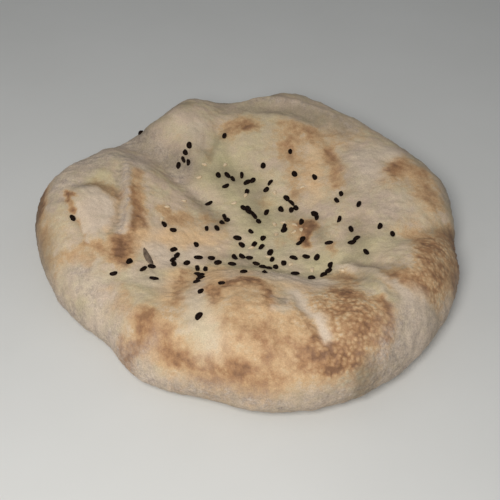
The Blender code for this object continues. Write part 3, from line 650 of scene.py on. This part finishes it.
def curve_through(route, steps):
    """Points spread along a smooth curve through a route's own points, ends included."""
    points = np.array(route, dtype=float)
    before = np.vstack([2 * points[0] - points[1], points[:-1]])
    after = np.vstack([points[1:], 2 * points[-1] - points[-2]])
    slopes = (after - before) / 2
    place = np.linspace(0, len(points) - 1, steps)
    start = np.minimum(place.astype(int), len(points) - 2)
    t = (place - start)[:, None]
    level = points[start] * (1 + 2 * t) * (1 - t) ** 2 + points[start + 1] * t * t * (3 - 2 * t)
    return level + slopes[start] * t * (1 - t) ** 2 + slopes[start + 1] * t * t * (t - 1)


def pillow_height(x, y, name):
    """The top of one pillow of dough over the board."""
    middle_x, middle_y, half_length, half_width, direction, height, roundness = PILLOWS[name]
    cosine = math.cos(math.radians(direction))
    sine = math.sin(math.radians(direction))
    along = ((x - middle_x) * cosine + (y - middle_y) * sine) / half_length
    across = ((y - middle_y) * cosine - (x - middle_x) * sine) / half_width
    return height * np.maximum(1 - along ** 2 - across ** 2, 0) ** roundness


def crease_depth(x, y, name):
    """How far one groove sinks the crust, as soft dabs along its curve that fade at both ends."""
    depth, half_width, route = CREASES[name]
    dabs = curve_through(route, CREASE_STEPS)
    spacing = np.linalg.norm(np.diff(dabs, axis=0), axis=1).mean()
    strength = depth * spacing / (half_width * math.sqrt(math.pi))
    total = np.zeros(np.shape(x))
    for step, (dab_x, dab_y) in enumerate(dabs):
        share = step / (CREASE_STEPS - 1)
        fade = smooth_step(min(share, 1 - share) / CREASE_FADE + CREASE_FADE_START)
        total += strength * fade * np.exp(-((x - dab_x) ** 2 + (y - dab_y) ** 2) / half_width ** 2)
    return total


def lump_height(x, y):
    """Soft swellings and hollows in drawn places."""
    draw = random.Random(LUMP_DRAW)
    total = np.zeros(np.shape(x))
    for _ in range(LUMP_COUNT):
        direction = draw.uniform(0, 2 * math.pi)
        reach = LUMP_REACH * math.sqrt(draw.uniform(0, 1))
        middle_x = reach * math.cos(direction)
        middle_y = reach * math.sin(direction)
        radius = draw.uniform(*LUMP_RADIUS)
        height = LUMP_HEIGHT * draw.uniform(-1, 1)
        total += height * np.exp(-((x - middle_x) ** 2 + (y - middle_y) ** 2) / radius ** 2)
    return total


def crust_height(x, y):
    """The height of the crust over the board, before the side rounds over."""
    direction = np.arctan2(y, x)
    share = np.hypot(x, y) / around_rim(direction, RADIUS_COLUMN)
    rise = smooth_step((share - BASIN_SHARE) / (CREST_SHARE - BASIN_SHARE))
    rim = FLOOR_HEIGHT + (around_rim(direction, CREST_COLUMN) - FLOOR_HEIGHT) * rise
    blend = np.exp(PILLOW_SHARPNESS * rim)
    for name in PILLOWS:
        blend += np.exp(PILLOW_SHARPNESS * pillow_height(x, y, name)) - 1
    height = np.log(blend) / PILLOW_SHARPNESS
    for name in CREASES:
        height -= crease_depth(x, y, name)
    return height + lump_height(x, y)


def side_share(share):
    """How much of the crust's height is left where the side rounds over."""
    over = np.clip((share - SHOULDER_SHARE) / (1 - SHOULDER_SHARE), 0, 1)
    return WIDEST_LIFT + (1 - WIDEST_LIFT) * (1 - over ** SIDE_POWER) ** (1 / SIDE_POWER)


def surface_height(x, y):
    """The height of the bread's top skin over the board."""
    share = np.hypot(x, y) / around_rim(np.arctan2(y, x), RADIUS_COLUMN)
    return side_share(share) * crust_height(x, y)


def surface_normal(x, y):
    """The direction that the skin faces, from heights a small step to each side."""
    slope_x = surface_height(x + SLOPE_STEP, y) - surface_height(x - SLOPE_STEP, y)
    slope_y = surface_height(x, y + SLOPE_STEP) - surface_height(x, y - SLOPE_STEP)
    normal = np.array([-slope_x, -slope_y, 2 * SLOPE_STEP])
    return normal / np.linalg.norm(normal)


def underside_middle():
    """The middle of the outline, which is the part's origin."""
    direction = np.linspace(0, 2 * math.pi, OUTLINE_SAMPLES)
    reach = around_rim(direction, RADIUS_COLUMN)
    x = reach * np.cos(direction)
    y = reach * np.sin(direction)
    return np.array([(x.min() + x.max()) / 2, (y.min() + y.max()) / 2, 0.0])


def ring_plan():
    """Each ring from the middle out and under: points in it, share of the radius and of height."""
    count = RING_STEP * TOP_RINGS
    plan = []
    for ring in range(1, TOP_RINGS + 1):
        plan.append((RING_STEP * ring, SHOULDER_SHARE * ring / TOP_RINGS, 1.0))
    for ring in range(1, SIDE_RINGS + 1):
        turn = math.pi / 2 * ring / SIDE_RINGS
        share = SHOULDER_SHARE + (1 - SHOULDER_SHARE) * math.sin(turn) ** (2 / SIDE_POWER)
        plan.append((count, share, float(side_share(share))))
    for ring in range(1, UNDER_RINGS + 1):
        turn = math.pi / 2 * ring / UNDER_RINGS
        share = FOOT_SHARE + (1 - FOOT_SHARE) * math.cos(turn)
        plan.append((count, share, WIDEST_LIFT * (1 - math.sin(turn))))
    for ring in range(1, BASE_RINGS):
        left = 1 - ring / BASE_RINGS
        plan.append((round(count * left), FOOT_SHARE * left, 0.0))
    return plan


def ring_points(count, share, lift):
    """The points of one ring, in millimetres."""
    direction = 2 * math.pi * np.arange(count) / count
    reach = share * around_rim(direction, RADIUS_COLUMN)
    x = reach * np.cos(direction)
    y = reach * np.sin(direction)
    return np.column_stack([x, y, lift * crust_height(x, y)])


def stitch(inner, outer):
    """Triangles between two rings of point numbers, each step taken on the ring that lags."""
    triangles = []
    i = 0
    o = 0
    while i < len(inner) or o < len(outer):
        a = inner[i % len(inner)]
        b = outer[o % len(outer)]
        if o < len(outer) and (i == len(inner) or (o + 0.5) * len(inner) <= (i + 0.5) * len(outer)):
            o += 1
            triangles.append((a, b, outer[o % len(outer)]))
        else:
            i += 1
            triangles.append((a, b, inner[i % len(inner)]))
    return triangles


def scatter(cells, salt):
    """A drawn share from 0 to 1 for each whole-numbered cell, the same on every run."""
    mixed = cells.astype(np.int64) @ np.array(CELL_FACTORS) + salt * SALT_FACTOR
    for shift, factor in MIX_ROUNDS:
        mixed = (mixed ^ (mixed >> shift)) * factor
    return ((mixed >> DRAWN_SHIFT) & DRAWN_BITS) / DRAWN_BITS


def softer_step(share):
    """A ramp from 0 to 1 with no bend at its ends either, for shares from 0 to 1."""
    return share ** 3 * (share * (share * 6 - 15) + 10)


def soft_noise(points, size, salt):
    """Smooth noise from about -1 to 1 with swells one size across."""
    scaled = points / size
    cell = np.floor(scaled)
    inside = scaled - cell
    blend = softer_step(inside)
    total = np.zeros(len(points))
    for corner in np.ndindex(2, 2, 2):
        slope = np.column_stack([scatter(cell + corner, salt + axis) for axis in range(3)]) * 2 - 1
        weight = np.prod(np.where(corner, blend, 1 - blend), axis=1)
        total += weight * np.sum(slope * (inside - corner), axis=1)
    return 2 * total


def layered_noise(points, size, salt, layers=3):
    """Noise with finer layers added, each half as large and half as strong as the one before."""
    total = 0
    for layer in range(layers):
        weight = 0.5 ** layer
        total = total + weight * soft_noise(points, size * weight, salt + LAYER_SALT * layer)
    return total


def cell_swell(points, size, salt):
    """Small rounded swellings packed side by side, from 0 in the gaps to 1 on top."""
    scaled = points / size
    cell = np.floor(scaled)
    nearest = np.full(len(points), np.inf)
    second = np.full(len(points), np.inf)
    for step in itertools.product((-1, 0, 1), repeat=3):
        other = cell + step
        seat = other + np.column_stack([scatter(other, salt + axis) for axis in range(3)])
        reach = np.linalg.norm(seat - scaled, axis=1)
        second = np.minimum(second, np.maximum(nearest, reach))
        nearest = np.minimum(nearest, reach)
    return smooth_step((second - nearest) / BLISTER_GAP)


def drifted(points, low):
    """The x and y of points, shifted about by noise so that strokes get uneven edges."""
    x = points[:, 0].copy()
    y = points[:, 1].copy()
    for layer, (amount, size) in enumerate(DRIFT):
        reach = amount * (1 + LOW_DRIFT * low)
        x += reach * soft_noise(points, size, SALTS["drift x"] + LAYER_SALT * layer)
        y += reach * soft_noise(points, size, SALTS["drift y"] + LAYER_SALT * layer)
    return x, y


def painted(x, y, strokes):
    """Soft brush strokes laid over each other, from 0 for bare to 1 for full."""
    bare = np.ones(np.shape(x))
    for strength, half_width, route in strokes.values():
        nearest = np.full(np.shape(x), np.inf)
        for dab_x, dab_y in curve_through(route, STROKE_STEPS):
            nearest = np.minimum(nearest, (x - dab_x) ** 2 + (y - dab_y) ** 2)
        bare *= 1 - strength * np.exp(-(nearest / half_width ** 2) ** STROKE_EDGE)
    return 1 - bare


def browning_mask(x, y, low, mottle, dapple):
    """How far the crust is browned: its strokes, paler low on the side, made uneven."""
    browning = painted(x, y, BROWNING) * (1 - (1 - LOW_BROWNING) * low)
    browning = browning * (1 + MOTTLED["browning"] * mottle) + MOTTLED["bare"] * mottle + BASE_BROWNING
    return browning + DAPPLED["browning"] * dapple * (DAPPLE_BASE + np.minimum(browning, DAPPLE_LIMIT))


def flour_and_shade_mask(x, y, height_left, dapple, browning, stretched_and_lit):
    """How much flour lies on the crust, and painted shade on the side, less on dark and on pale crust."""
    side = smooth_step((FLOUR_AND_SHADE_START - height_left) / (FLOUR_AND_SHADE_START - FLOUR_AND_SHADE_FULL))
    flour_and_shade = 1 - (1 - painted(x, y, FLOUR)) * (1 - SIDE_FLOUR_AND_SHADE * side)
    flour_and_shade = flour_and_shade * (1 + DAPPLED["flour_and_shade"] * dapple) + DAPPLED["bare"] * dapple
    dark = smooth_step((browning - DARK_START) / DARK_SPAN)
    return flour_and_shade * ((1 - DARK_FLOUR_AND_SHADE_LOSS * dark) * (1 - PALE_FLOUR_AND_SHADE_LOSS * stretched_and_lit))


def crust_masks(points, height_left):
    """The share of each tint at every point of the crust."""
    mottle = layered_noise(points, MOTTLE_SIZE, SALTS["mottle"], MOTTLE_LAYERS)
    dapple = layered_noise(points, DAPPLE_SIZE, SALTS["dapple"])
    low = smooth_step((LOW_START + MOTTLED["low"] * mottle - height_left) / (LOW_START - LOW_FULL))
    x, y = drifted(points, low)
    stretched_and_lit = painted(x, y, PALE)
    browning = browning_mask(x, y, low, mottle, dapple)
    network = painted(x, y, NETWORK) * (1 + DAPPLED["network"] * dapple) * (1 - stretched_and_lit)
    masks = {
        "browning": np.clip(browning * (1 - PALE_BROWNING_LOSS * stretched_and_lit), 0, BROWNING_LIMIT),
        "flour_and_shade": np.clip(flour_and_shade_mask(x, y, height_left, dapple, browning, stretched_and_lit), 0, 1),
        "network": np.clip(network, 0, 1),
        "shadow": painted(x, y, SHADOW_LINES),
    }
    mottled = {"olive": painted(x, y, OLIVE), "stretched_and_lit": stretched_and_lit, "golden": painted(x, y, GOLD)}
    for name, share in mottled.items():
        masks[name] = np.clip(share * (1 + MOTTLED[name] * mottle), 0, 1)
    return masks


def fine_relief(points, masks, seats):
    """How far the fine relief lifts the skin at every point, in millimetres."""
    relief = SWELL_HEIGHT * layered_noise(points, SWELL_SIZE, SALTS["swell"])
    relief += RIPPLE_HEIGHT * layered_noise(points, RIPPLE_SIZE, SALTS["ripple"])
    rough = np.clip(masks["browning"] - BLISTER_START, 0, BLISTER_SPAN) / BLISTER_SPAN
    relief += BLISTER_HEIGHT * rough * (cell_swell(points, BLISTER_SIZE, SALTS["blister"]) - 0.5)
    lines = soft_noise(points * FOLD_SQUEEZE, FOLD_SIZE, SALTS["fold"])
    relief += FOLD_HEIGHT * lines * masks["flour_and_shade"]
    for x, y, _ in seats:
        away = (points[:, 0] - x) ** 2 + (points[:, 1] - y) ** 2
        relief -= DIMPLE_DEPTH * np.exp(-away / DIMPLE_SIZE ** 2)
    return relief * smooth_step(points[:, 2] / FLAT_BELOW)


def colour(shade):
    """A colour as a screen shows it, 0 to 255, as linear red, green and blue with full cover."""
    levels = [part / 255 for part in shade]
    return (*(((level + 0.055) / 1.055) ** 2.4 for level in levels), 1)


def new_material(name, roughness):
    """A plain surface with its node tree and shader. A linked roughness takes the place of the number."""
    material = bpy.data.materials.new(name)
    material.use_nodes = True
    shader = material.node_tree.nodes["Principled BSDF"]
    shader.inputs["Roughness"].default_value = roughness
    return material, material.node_tree, shader


def give(tree, value, socket):
    """Sets a socket to a number or colour, or links another socket to it."""
    if isinstance(value, bpy.types.NodeSocket):
        tree.links.new(value, socket)
    else:
        socket.default_value = value


def attribute(tree, name):
    """A mask kept on the mesh."""
    reader = tree.nodes.new("ShaderNodeAttribute")
    reader.attribute_name = name
    return reader.outputs["Fac"]


def noise(tree, size, detail=3, roughness=0.55):
    """Noise from 0 to 1 that stays on the object, with swells one size across in millimetres."""
    place = tree.nodes.new("ShaderNodeTexCoord")
    texture = tree.nodes.new("ShaderNodeTexNoise")
    texture.inputs["Scale"].default_value = 1 / (size * MM)
    texture.inputs["Detail"].default_value = detail
    texture.inputs["Roughness"].default_value = roughness
    tree.links.new(place.outputs["Object"], texture.inputs["Vector"])
    return texture.outputs["Fac"]


def drawn_cells(tree, size, warp=0.0):
    """Distance to the middle of drawn cells one size across, bent by a warp, in millimetres."""
    place = tree.nodes.new("ShaderNodeTexCoord").outputs["Object"]
    texture = tree.nodes.new("ShaderNodeTexVoronoi")
    texture.inputs["Scale"].default_value = 1 / (size * MM)
    if warp:
        swirl = tree.nodes.new("ShaderNodeTexNoise")
        swirl.inputs["Scale"].default_value = 1 / (size * MM)
        tree.links.new(place, swirl.inputs["Vector"])
        bend = tree.nodes.new("ShaderNodeVectorMath")
        bend.operation = "MULTIPLY_ADD"
        tree.links.new(swirl.outputs["Color"], bend.inputs[0])
        bend.inputs[1].default_value = (2 * warp * MM,) * 3
        tree.links.new(place, bend.inputs[2])
        place = bend.outputs["Vector"]
    tree.links.new(place, texture.inputs["Vector"])
    return texture.outputs["Distance"]


def rescaled(tree, value, name):
    """A value rescaled by a named row of the ranges, and kept between the row's new ends."""
    ramp = tree.nodes.new("ShaderNodeMapRange")
    give(tree, value, ramp.inputs["Value"])
    for socket, end in zip(("From Min", "From Max", "To Min", "To Max"), RANGES[name]):
        ramp.inputs[socket].default_value = end
    return ramp.outputs["Result"]


def sums(tree, operation, first, second):
    """Arithmetic on two values."""
    node = tree.nodes.new("ShaderNodeMath")
    node.operation = operation
    give(tree, first, node.inputs[0])
    give(tree, second, node.inputs[1])
    return node.outputs[0]


def masked(tree, mask, value, name):
    """A mask kept on the mesh, times a value rescaled by a named row of the ranges."""
    return sums(tree, "MULTIPLY", attribute(tree, mask), rescaled(tree, value, name))


def tinted(tree, base, tint, share, blend="MIX"):
    """A colour with a tint laid over it. A Mix node's sockets 0, 6, 7 and 2 are those for colours."""
    mix = tree.nodes.new("ShaderNodeMix")
    mix.data_type = "RGBA"
    mix.blend_type = blend
    give(tree, share, mix.inputs[0])
    give(tree, base, mix.inputs[6])
    give(tree, tint, mix.inputs[7])
    return mix.outputs[2]


def baked_scale(tree, browning, pink):
    """The dough's colour by how far it has baked, with pale dough pinker in places."""
    ramp = tree.nodes.new("ShaderNodeValToRGB")
    while len(ramp.color_ramp.elements) < len(BAKED_STOPS):
        ramp.color_ramp.elements.new(1.0)
    for element, (place, shade) in zip(ramp.color_ramp.elements, BAKED_STOPS):
        element.position = place
        element.color = colour(shade)
    tree.links.new(browning, ramp.inputs["Fac"])
    unbaked = sums(tree, "MULTIPLY", pink, rescaled(tree, browning, "pink left by browning"))
    return tinted(tree, ramp.outputs["Color"], colour(PINK_DOUGH), unbaked)


def bumped(tree, height, name, normal=None):
    """A surface normal leaned by a height, as a named bump."""
    bump = tree.nodes.new("ShaderNodeBump")
    distance, strength = BUMPS[name]
    bump.inputs["Distance"].default_value = distance * MM
    bump.inputs["Strength"].default_value = strength
    tree.links.new(height, bump.inputs["Height"])
    if normal is not None:
        tree.links.new(normal, bump.inputs["Normal"])
    return bump.outputs["Normal"]


def crust_material():
    """Baked dough, pale to dark brown, blistered and floured, with painted light and shade and a fine dull
    grain.
    """
    material, tree, shader = new_material("baked_crust", CRUST_ROUGHNESS)
    clouds, dapple, fine, speckle, grain = (noise(tree, *row) for row in GRAINS.values())
    blisters = drawn_cells(tree, NETWORK_CELL, NETWORK_WARP)
    browning = attribute(tree, "browning")
    # The blister network: browning in the gaps, and paler tops that are partly a painted highlight.
    for change in (rescaled(tree, fine, "uneven browning"), rescaled(tree, dapple, "uneven browning"),
                   masked(tree, "network", blisters, "blister highlight and browning")):
        browning = sums(tree, "ADD", browning, change)
    shade = baked_scale(tree, browning, rescaled(tree, clouds, "pink clouds"))
    shade = tinted(tree, shade, colour(OLIVE_DOUGH),
                   masked(tree, "olive", browning, "olive left by browning"))
    # Light gold crust, partly painted light on slopes behind the front crest.
    shade = tinted(tree, shade, colour(GOLDEN),
                   masked(tree, "golden", browning, "gold left by browning"))
    # Pale stretched skin, and painted light on slopes that face away from the lamps.
    shade = tinted(tree, shade, colour(STRETCHED_AND_LIT), attribute(tree, "stretched_and_lit"))
    # Flour dust, and on the side painted shade that darkens it towards the board.
    light_dust = sums(tree, "ADD", rescaled(tree, speckle, "speckled dust"),
                      rescaled(tree, dapple, "dappled dust"))
    dust_and_shade = tinted(tree, colour(FLOUR_AND_SHADE_DARK), colour(FLOUR_AND_SHADE_LIGHT), light_dust)
    dusting_and_shade = masked(tree, "flour_and_shade", fine, "dusting_and_shade")
    shade = tinted(tree, shade, dust_and_shade, dusting_and_shade)
    # Painted shade in hollows, at the foot of folds and along the edges.
    shade = tinted(tree, shade, colour(SHADOW_GREY), attribute(tree, "shadow"))
    shade = tinted(tree, shade, rescaled(tree, grain, "grain"), 1.0, "MULTIPLY")
    tree.links.new(shade, shader.inputs["Base Color"])
    tree.links.new(rescaled(tree, dusting_and_shade, "dusty roughness"), shader.inputs["Roughness"])
    normal = bumped(tree, fine, "fine")
    normal = bumped(tree, masked(tree, "network", blisters, "blister tops"), "blisters", normal)
    normal = bumped(tree, grain, "grain", normal)
    tree.links.new(normal, shader.inputs["Normal"])
    return material


def coat_material(name):
    """A coat that wanders between two shades, with its tree, its shader and the noise between them."""
    first, second, size, roughness = COATS[name]
    material, tree, shader = new_material(name, roughness)
    patches = noise(tree, size)
    shade = tinted(tree, colour(first), colour(second), rescaled(tree, patches, name))
    tree.links.new(shade, shader.inputs["Base Color"])
    return material, tree, shader, patches


def nigella_material():
    """Nearly black seed coats with a dull, finely netted skin."""
    material, tree, shader, patches = coat_material("nigella_coat")
    shader.inputs["Specular IOR Level"].default_value = NIGELLA_SHINE
    normal = bumped(tree, drawn_cells(tree, NIGELLA_NET), "nigella net")
    tree.links.new(normal, shader.inputs["Normal"])
    tree.links.new(rescaled(tree, patches, "nigella roughness"), shader.inputs["Roughness"])
    return material


def sesame_material():
    """Hulled seeds, pale cream with a darker tip here and there."""
    material, tree, shader, _ = coat_material("sesame_coat")
    normal = bumped(tree, noise(tree, SESAME_GRAIN), "sesame grain")
    tree.links.new(normal, shader.inputs["Normal"])
    return material


def husk_material():
    """A dry grey-brown seed husk, lighter in patches."""
    material, tree, shader, _ = coat_material("dry_husk")
    normal = bumped(tree, noise(tree, HUSK_GRAIN), "husk grain")
    tree.links.new(normal, shader.inputs["Normal"])
    return material


def mesh_object(name, points, faces, material):
    """An object in the scene, from points in millimetres."""
    mesh = bpy.data.meshes.new(name)
    mesh.from_pydata((np.array(points) * MM).tolist(), [], faces)
    mesh.materials.append(material)
    made = bpy.data.objects.new(name, mesh)
    bpy.context.scene.collection.objects.link(made)
    return made


def make_piece(name, points, faces, material):
    """A smooth piece of the bread, riding on the part's one body, from places on the bread."""
    piece = mesh_object(name, np.array(points) - underside_middle(), faces, material)
    piece.data.validate()
    piece.data.shade_smooth()
    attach(piece, "root")
    return piece


def crust_rings():
    """The points of the smooth crust, its faces, and the share of height left at each point."""
    points = [ring_points(1, 0.0, 1.0)]
    left = [1.0]
    rings = []
    total = 1
    for count, share, lift in ring_plan():
        rings.append(list(range(total, total + count)))
        points.append(ring_points(count, share, lift))
        left.extend([lift] * count)
        total += count
    first = rings[0]
    faces = [(0, first[n], first[(n + 1) % len(first)]) for n in range(len(first))]
    for inner, outer in zip(rings, rings[1:]):
        faces.extend(stitch(inner, outer))
    faces.append(tuple(reversed(rings[-1])))
    return np.vstack(points), faces, np.array(left)


def skin_normals(points, faces):
    """The direction that the smooth skin faces at each point."""
    mesh = bpy.data.meshes.new("smooth skin")
    mesh.from_pydata(points.tolist(), [], faces)
    mesh.shade_smooth()
    normals = np.zeros(3 * len(points))
    mesh.vertices.foreach_get("normal", normals)
    bpy.data.meshes.remove(mesh)
    return normals.reshape(-1, 3)


def make_crust(seats):
    """The bread's whole skin with its fine relief and masks; it stands for the solid."""
    smooth, faces, left = crust_rings()
    masks = crust_masks(smooth, left)
    relief = fine_relief(smooth, masks, seats)
    points = smooth + skin_normals(smooth, faces) * relief[:, None]
    crust = make_piece("crust", points, faces, crust_material())
    for name, share in masks.items():
        layer = crust.data.attributes.new(name, "FLOAT", "POINT")
        layer.data.foreach_set("value", share.astype(np.float32))
    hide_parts("flatbread")
    return points, faces


def has_room(x, y, places):
    """Whether no seed lies too close yet."""
    return all(math.hypot(x - other_x, y - other_y) > SEED_GAP for other_x, other_y, _ in places)


def strew(trails, draw, places):
    """Adds the seeds of each trail to the places: x, y and the way that the seed points."""
    for count, spread, heading, turn, route in trails.values():
        curve = curve_through(route, count) if count > 1 else route
        for step in range(count):
            own_heading = math.radians(heading + draw.uniform(-turn, turn))
            for _ in range(PLACE_TRIES):
                x = curve[step][0] + draw.uniform(-spread, spread)
                y = curve[step][1] + draw.uniform(-spread, spread)
                if has_room(x, y, places):
                    break
            places.append((x, y, own_heading))


def seed_places():
    """The places of all nigella seeds, sesame seeds and husks, in three lists."""
    draw = random.Random(PLACE_DRAW)
    places = []
    ends = [0]
    for trails in (NIGELLA_TRAILS, SESAME_TRAILS, HUSK_TRAILS):
        strew(trails, draw, places)
        ends.append(len(places))
    return [places[start:end] for start, end in zip(ends, ends[1:])]


def seed_form(size, rings, edge, draw):
    """A teardrop seed lying along +X: its points and faces. Edge says how sharp its ridges are."""
    length, width, thickness = (side * (1 + SIZE_SPREAD * draw.uniform(-1, 1)) for side in size)
    roll = draw.uniform(0, 2 * math.pi)
    bend = draw.uniform(-BEND_SPREAD, BEND_SPREAD)
    points = [(-length / 2, 0, 0)]
    for place, girth in rings:
        for side in range(SEED_SIDES):
            turn = 2 * math.pi * side / SEED_SIDES
            ridge = 1 + edge * math.cos(SEED_EDGES * turn + roll)
            reach = girth * ridge * draw.uniform(*GIRTH_RANGE)
            across = width / 2 * reach * math.cos(turn) + bend * length * math.sin(math.pi * place)
            up = thickness / 2 * reach * math.sin(turn)
            points.append(((place - 0.5) * length, across, up))
    points.append((length / 2, 0, 0))
    starts = [1 + ring * SEED_SIDES for ring in range(len(rings))]
    loops = [list(range(start, start + SEED_SIDES)) for start in starts]
    faces = [(0, a, b) for a, b in zip(loops[0][1:] + loops[0][:1], loops[0])]
    for near, far in zip(loops, loops[1:]):
        for n in range(SEED_SIDES):
            after = (n + 1) % SEED_SIDES
            faces.append((near[n], near[after], far[after], far[n]))
    faces.extend((len(points) - 1, a, b) for a, b in zip(loops[-1], loops[-1][1:] + loops[-1][:1]))
    return np.array(points), faces


def lay_on_crust(points, x, y, heading, thickness, skin):
    """Turns a seed to its heading, leans it with the crust and sinks it in."""
    normal = surface_normal(x, y)
    ahead = np.array([math.cos(heading), math.sin(heading), 0])
    ahead -= normal * ahead.dot(normal)
    ahead /= np.linalg.norm(ahead)
    side = np.cross(normal, ahead)
    touch = skin.ray_cast(Vector((x, y, DROP_HEIGHT)), Vector((0, 0, -1)))[0]
    middle = np.array(touch) + normal * thickness * (0.5 - SEED_SUNK)
    return middle + points @ np.array([ahead, side, normal])


def make_seeds(name, places, size, rings, edge, material, draw, skin):
    """All seeds of one kind as one piece, each laid on the crust."""
    points = []
    faces = []
    for x, y, heading in places:
        seed, sides = seed_form(size, rings, edge, draw)
        start = len(points)
        points.extend(lay_on_crust(seed, x, y, heading, size[2], skin).tolist())
        faces.extend(tuple(start + n for n in side) for side in sides)
    return make_piece(name, points, faces, material)


def make_bread():
    """The crust, then the seeds on it."""
    nigella_places, sesame_places, husk_places = seed_places()
    points, faces = make_crust(nigella_places + sesame_places)
    skin = BVHTree.FromPolygons(points.tolist(), faces)
    draw = random.Random(FORM_DRAW)
    kinds = (
        ("black_seeds", nigella_places, NIGELLA_SIZE, NIGELLA_RINGS, NIGELLA_EDGE, nigella_material),
        ("pale_seeds", sesame_places, SESAME_SIZE, SESAME_RINGS, SESAME_EDGE, sesame_material),
        ("husk", husk_places, HUSK_SIZE, SESAME_RINGS, HUSK_EDGE, husk_material),
    )
    for name, places, size, rings, edge, material in kinds:
        make_seeds(name, places, size, rings, edge, material(), draw, skin)


def aim(thing, place, target):
    """Puts a camera or light at a place and points it at a target, both in millimetres."""
    thing.location = Vector(place) * MM
    thing.rotation_euler = (Vector(target) - Vector(place)).to_track_quat("-Z", "Y").to_euler()
    bpy.context.scene.collection.objects.link(thing)


def make_camera():
    """The photograph's view."""
    lift = math.radians(CAMERA_ELEVATION)
    back = Vector((0, -math.cos(lift), math.sin(lift))) * CAMERA_DISTANCE
    camera = bpy.data.objects.new("camera", bpy.data.cameras.new("camera"))
    camera.data.lens = CAMERA_LENS
    camera.data.sensor_width = CAMERA_SENSOR
    camera.data.clip_start = CAMERA_NEAREST * MM
    aim(camera, Vector(CAMERA_AIM) + back, CAMERA_AIM)
    bpy.context.scene.camera = camera


def make_lights():
    """Soft studio light from the front and the left, and a pale room around."""
    for name, (place, size, watts) in LIGHTS.items():
        lamp = bpy.data.lights.new(name, "AREA")
        lamp.shape = "DISK"
        lamp.size = size * MM
        lamp.energy = watts
        lamp.color = LIGHT_COLOUR
        aim(bpy.data.objects.new(name, lamp), place, CAMERA_AIM)
    room = bpy.data.worlds.new("room")
    room.use_nodes = True
    air = room.node_tree.nodes["Background"]
    air.inputs["Color"].default_value = (*ROOM_COLOUR, 1)
    air.inputs["Strength"].default_value = ROOM_STRENGTH
    bpy.context.scene.world = room


def make_floor():
    """A plain pale floor under the bread."""
    half = FLOOR_SIZE / 2
    corners = [(-half, -half, 0), (half, -half, 0), (half, half, 0), (-half, half, 0)]
    material, _, _, _ = coat_material("pale_floor")
    floor = mesh_object("floor", corners, [(0, 1, 2, 3)], material)


make_camera()
make_lights()
make_floor()
make_bread()
bpy.context.scene.view_settings.view_transform = "Standard"
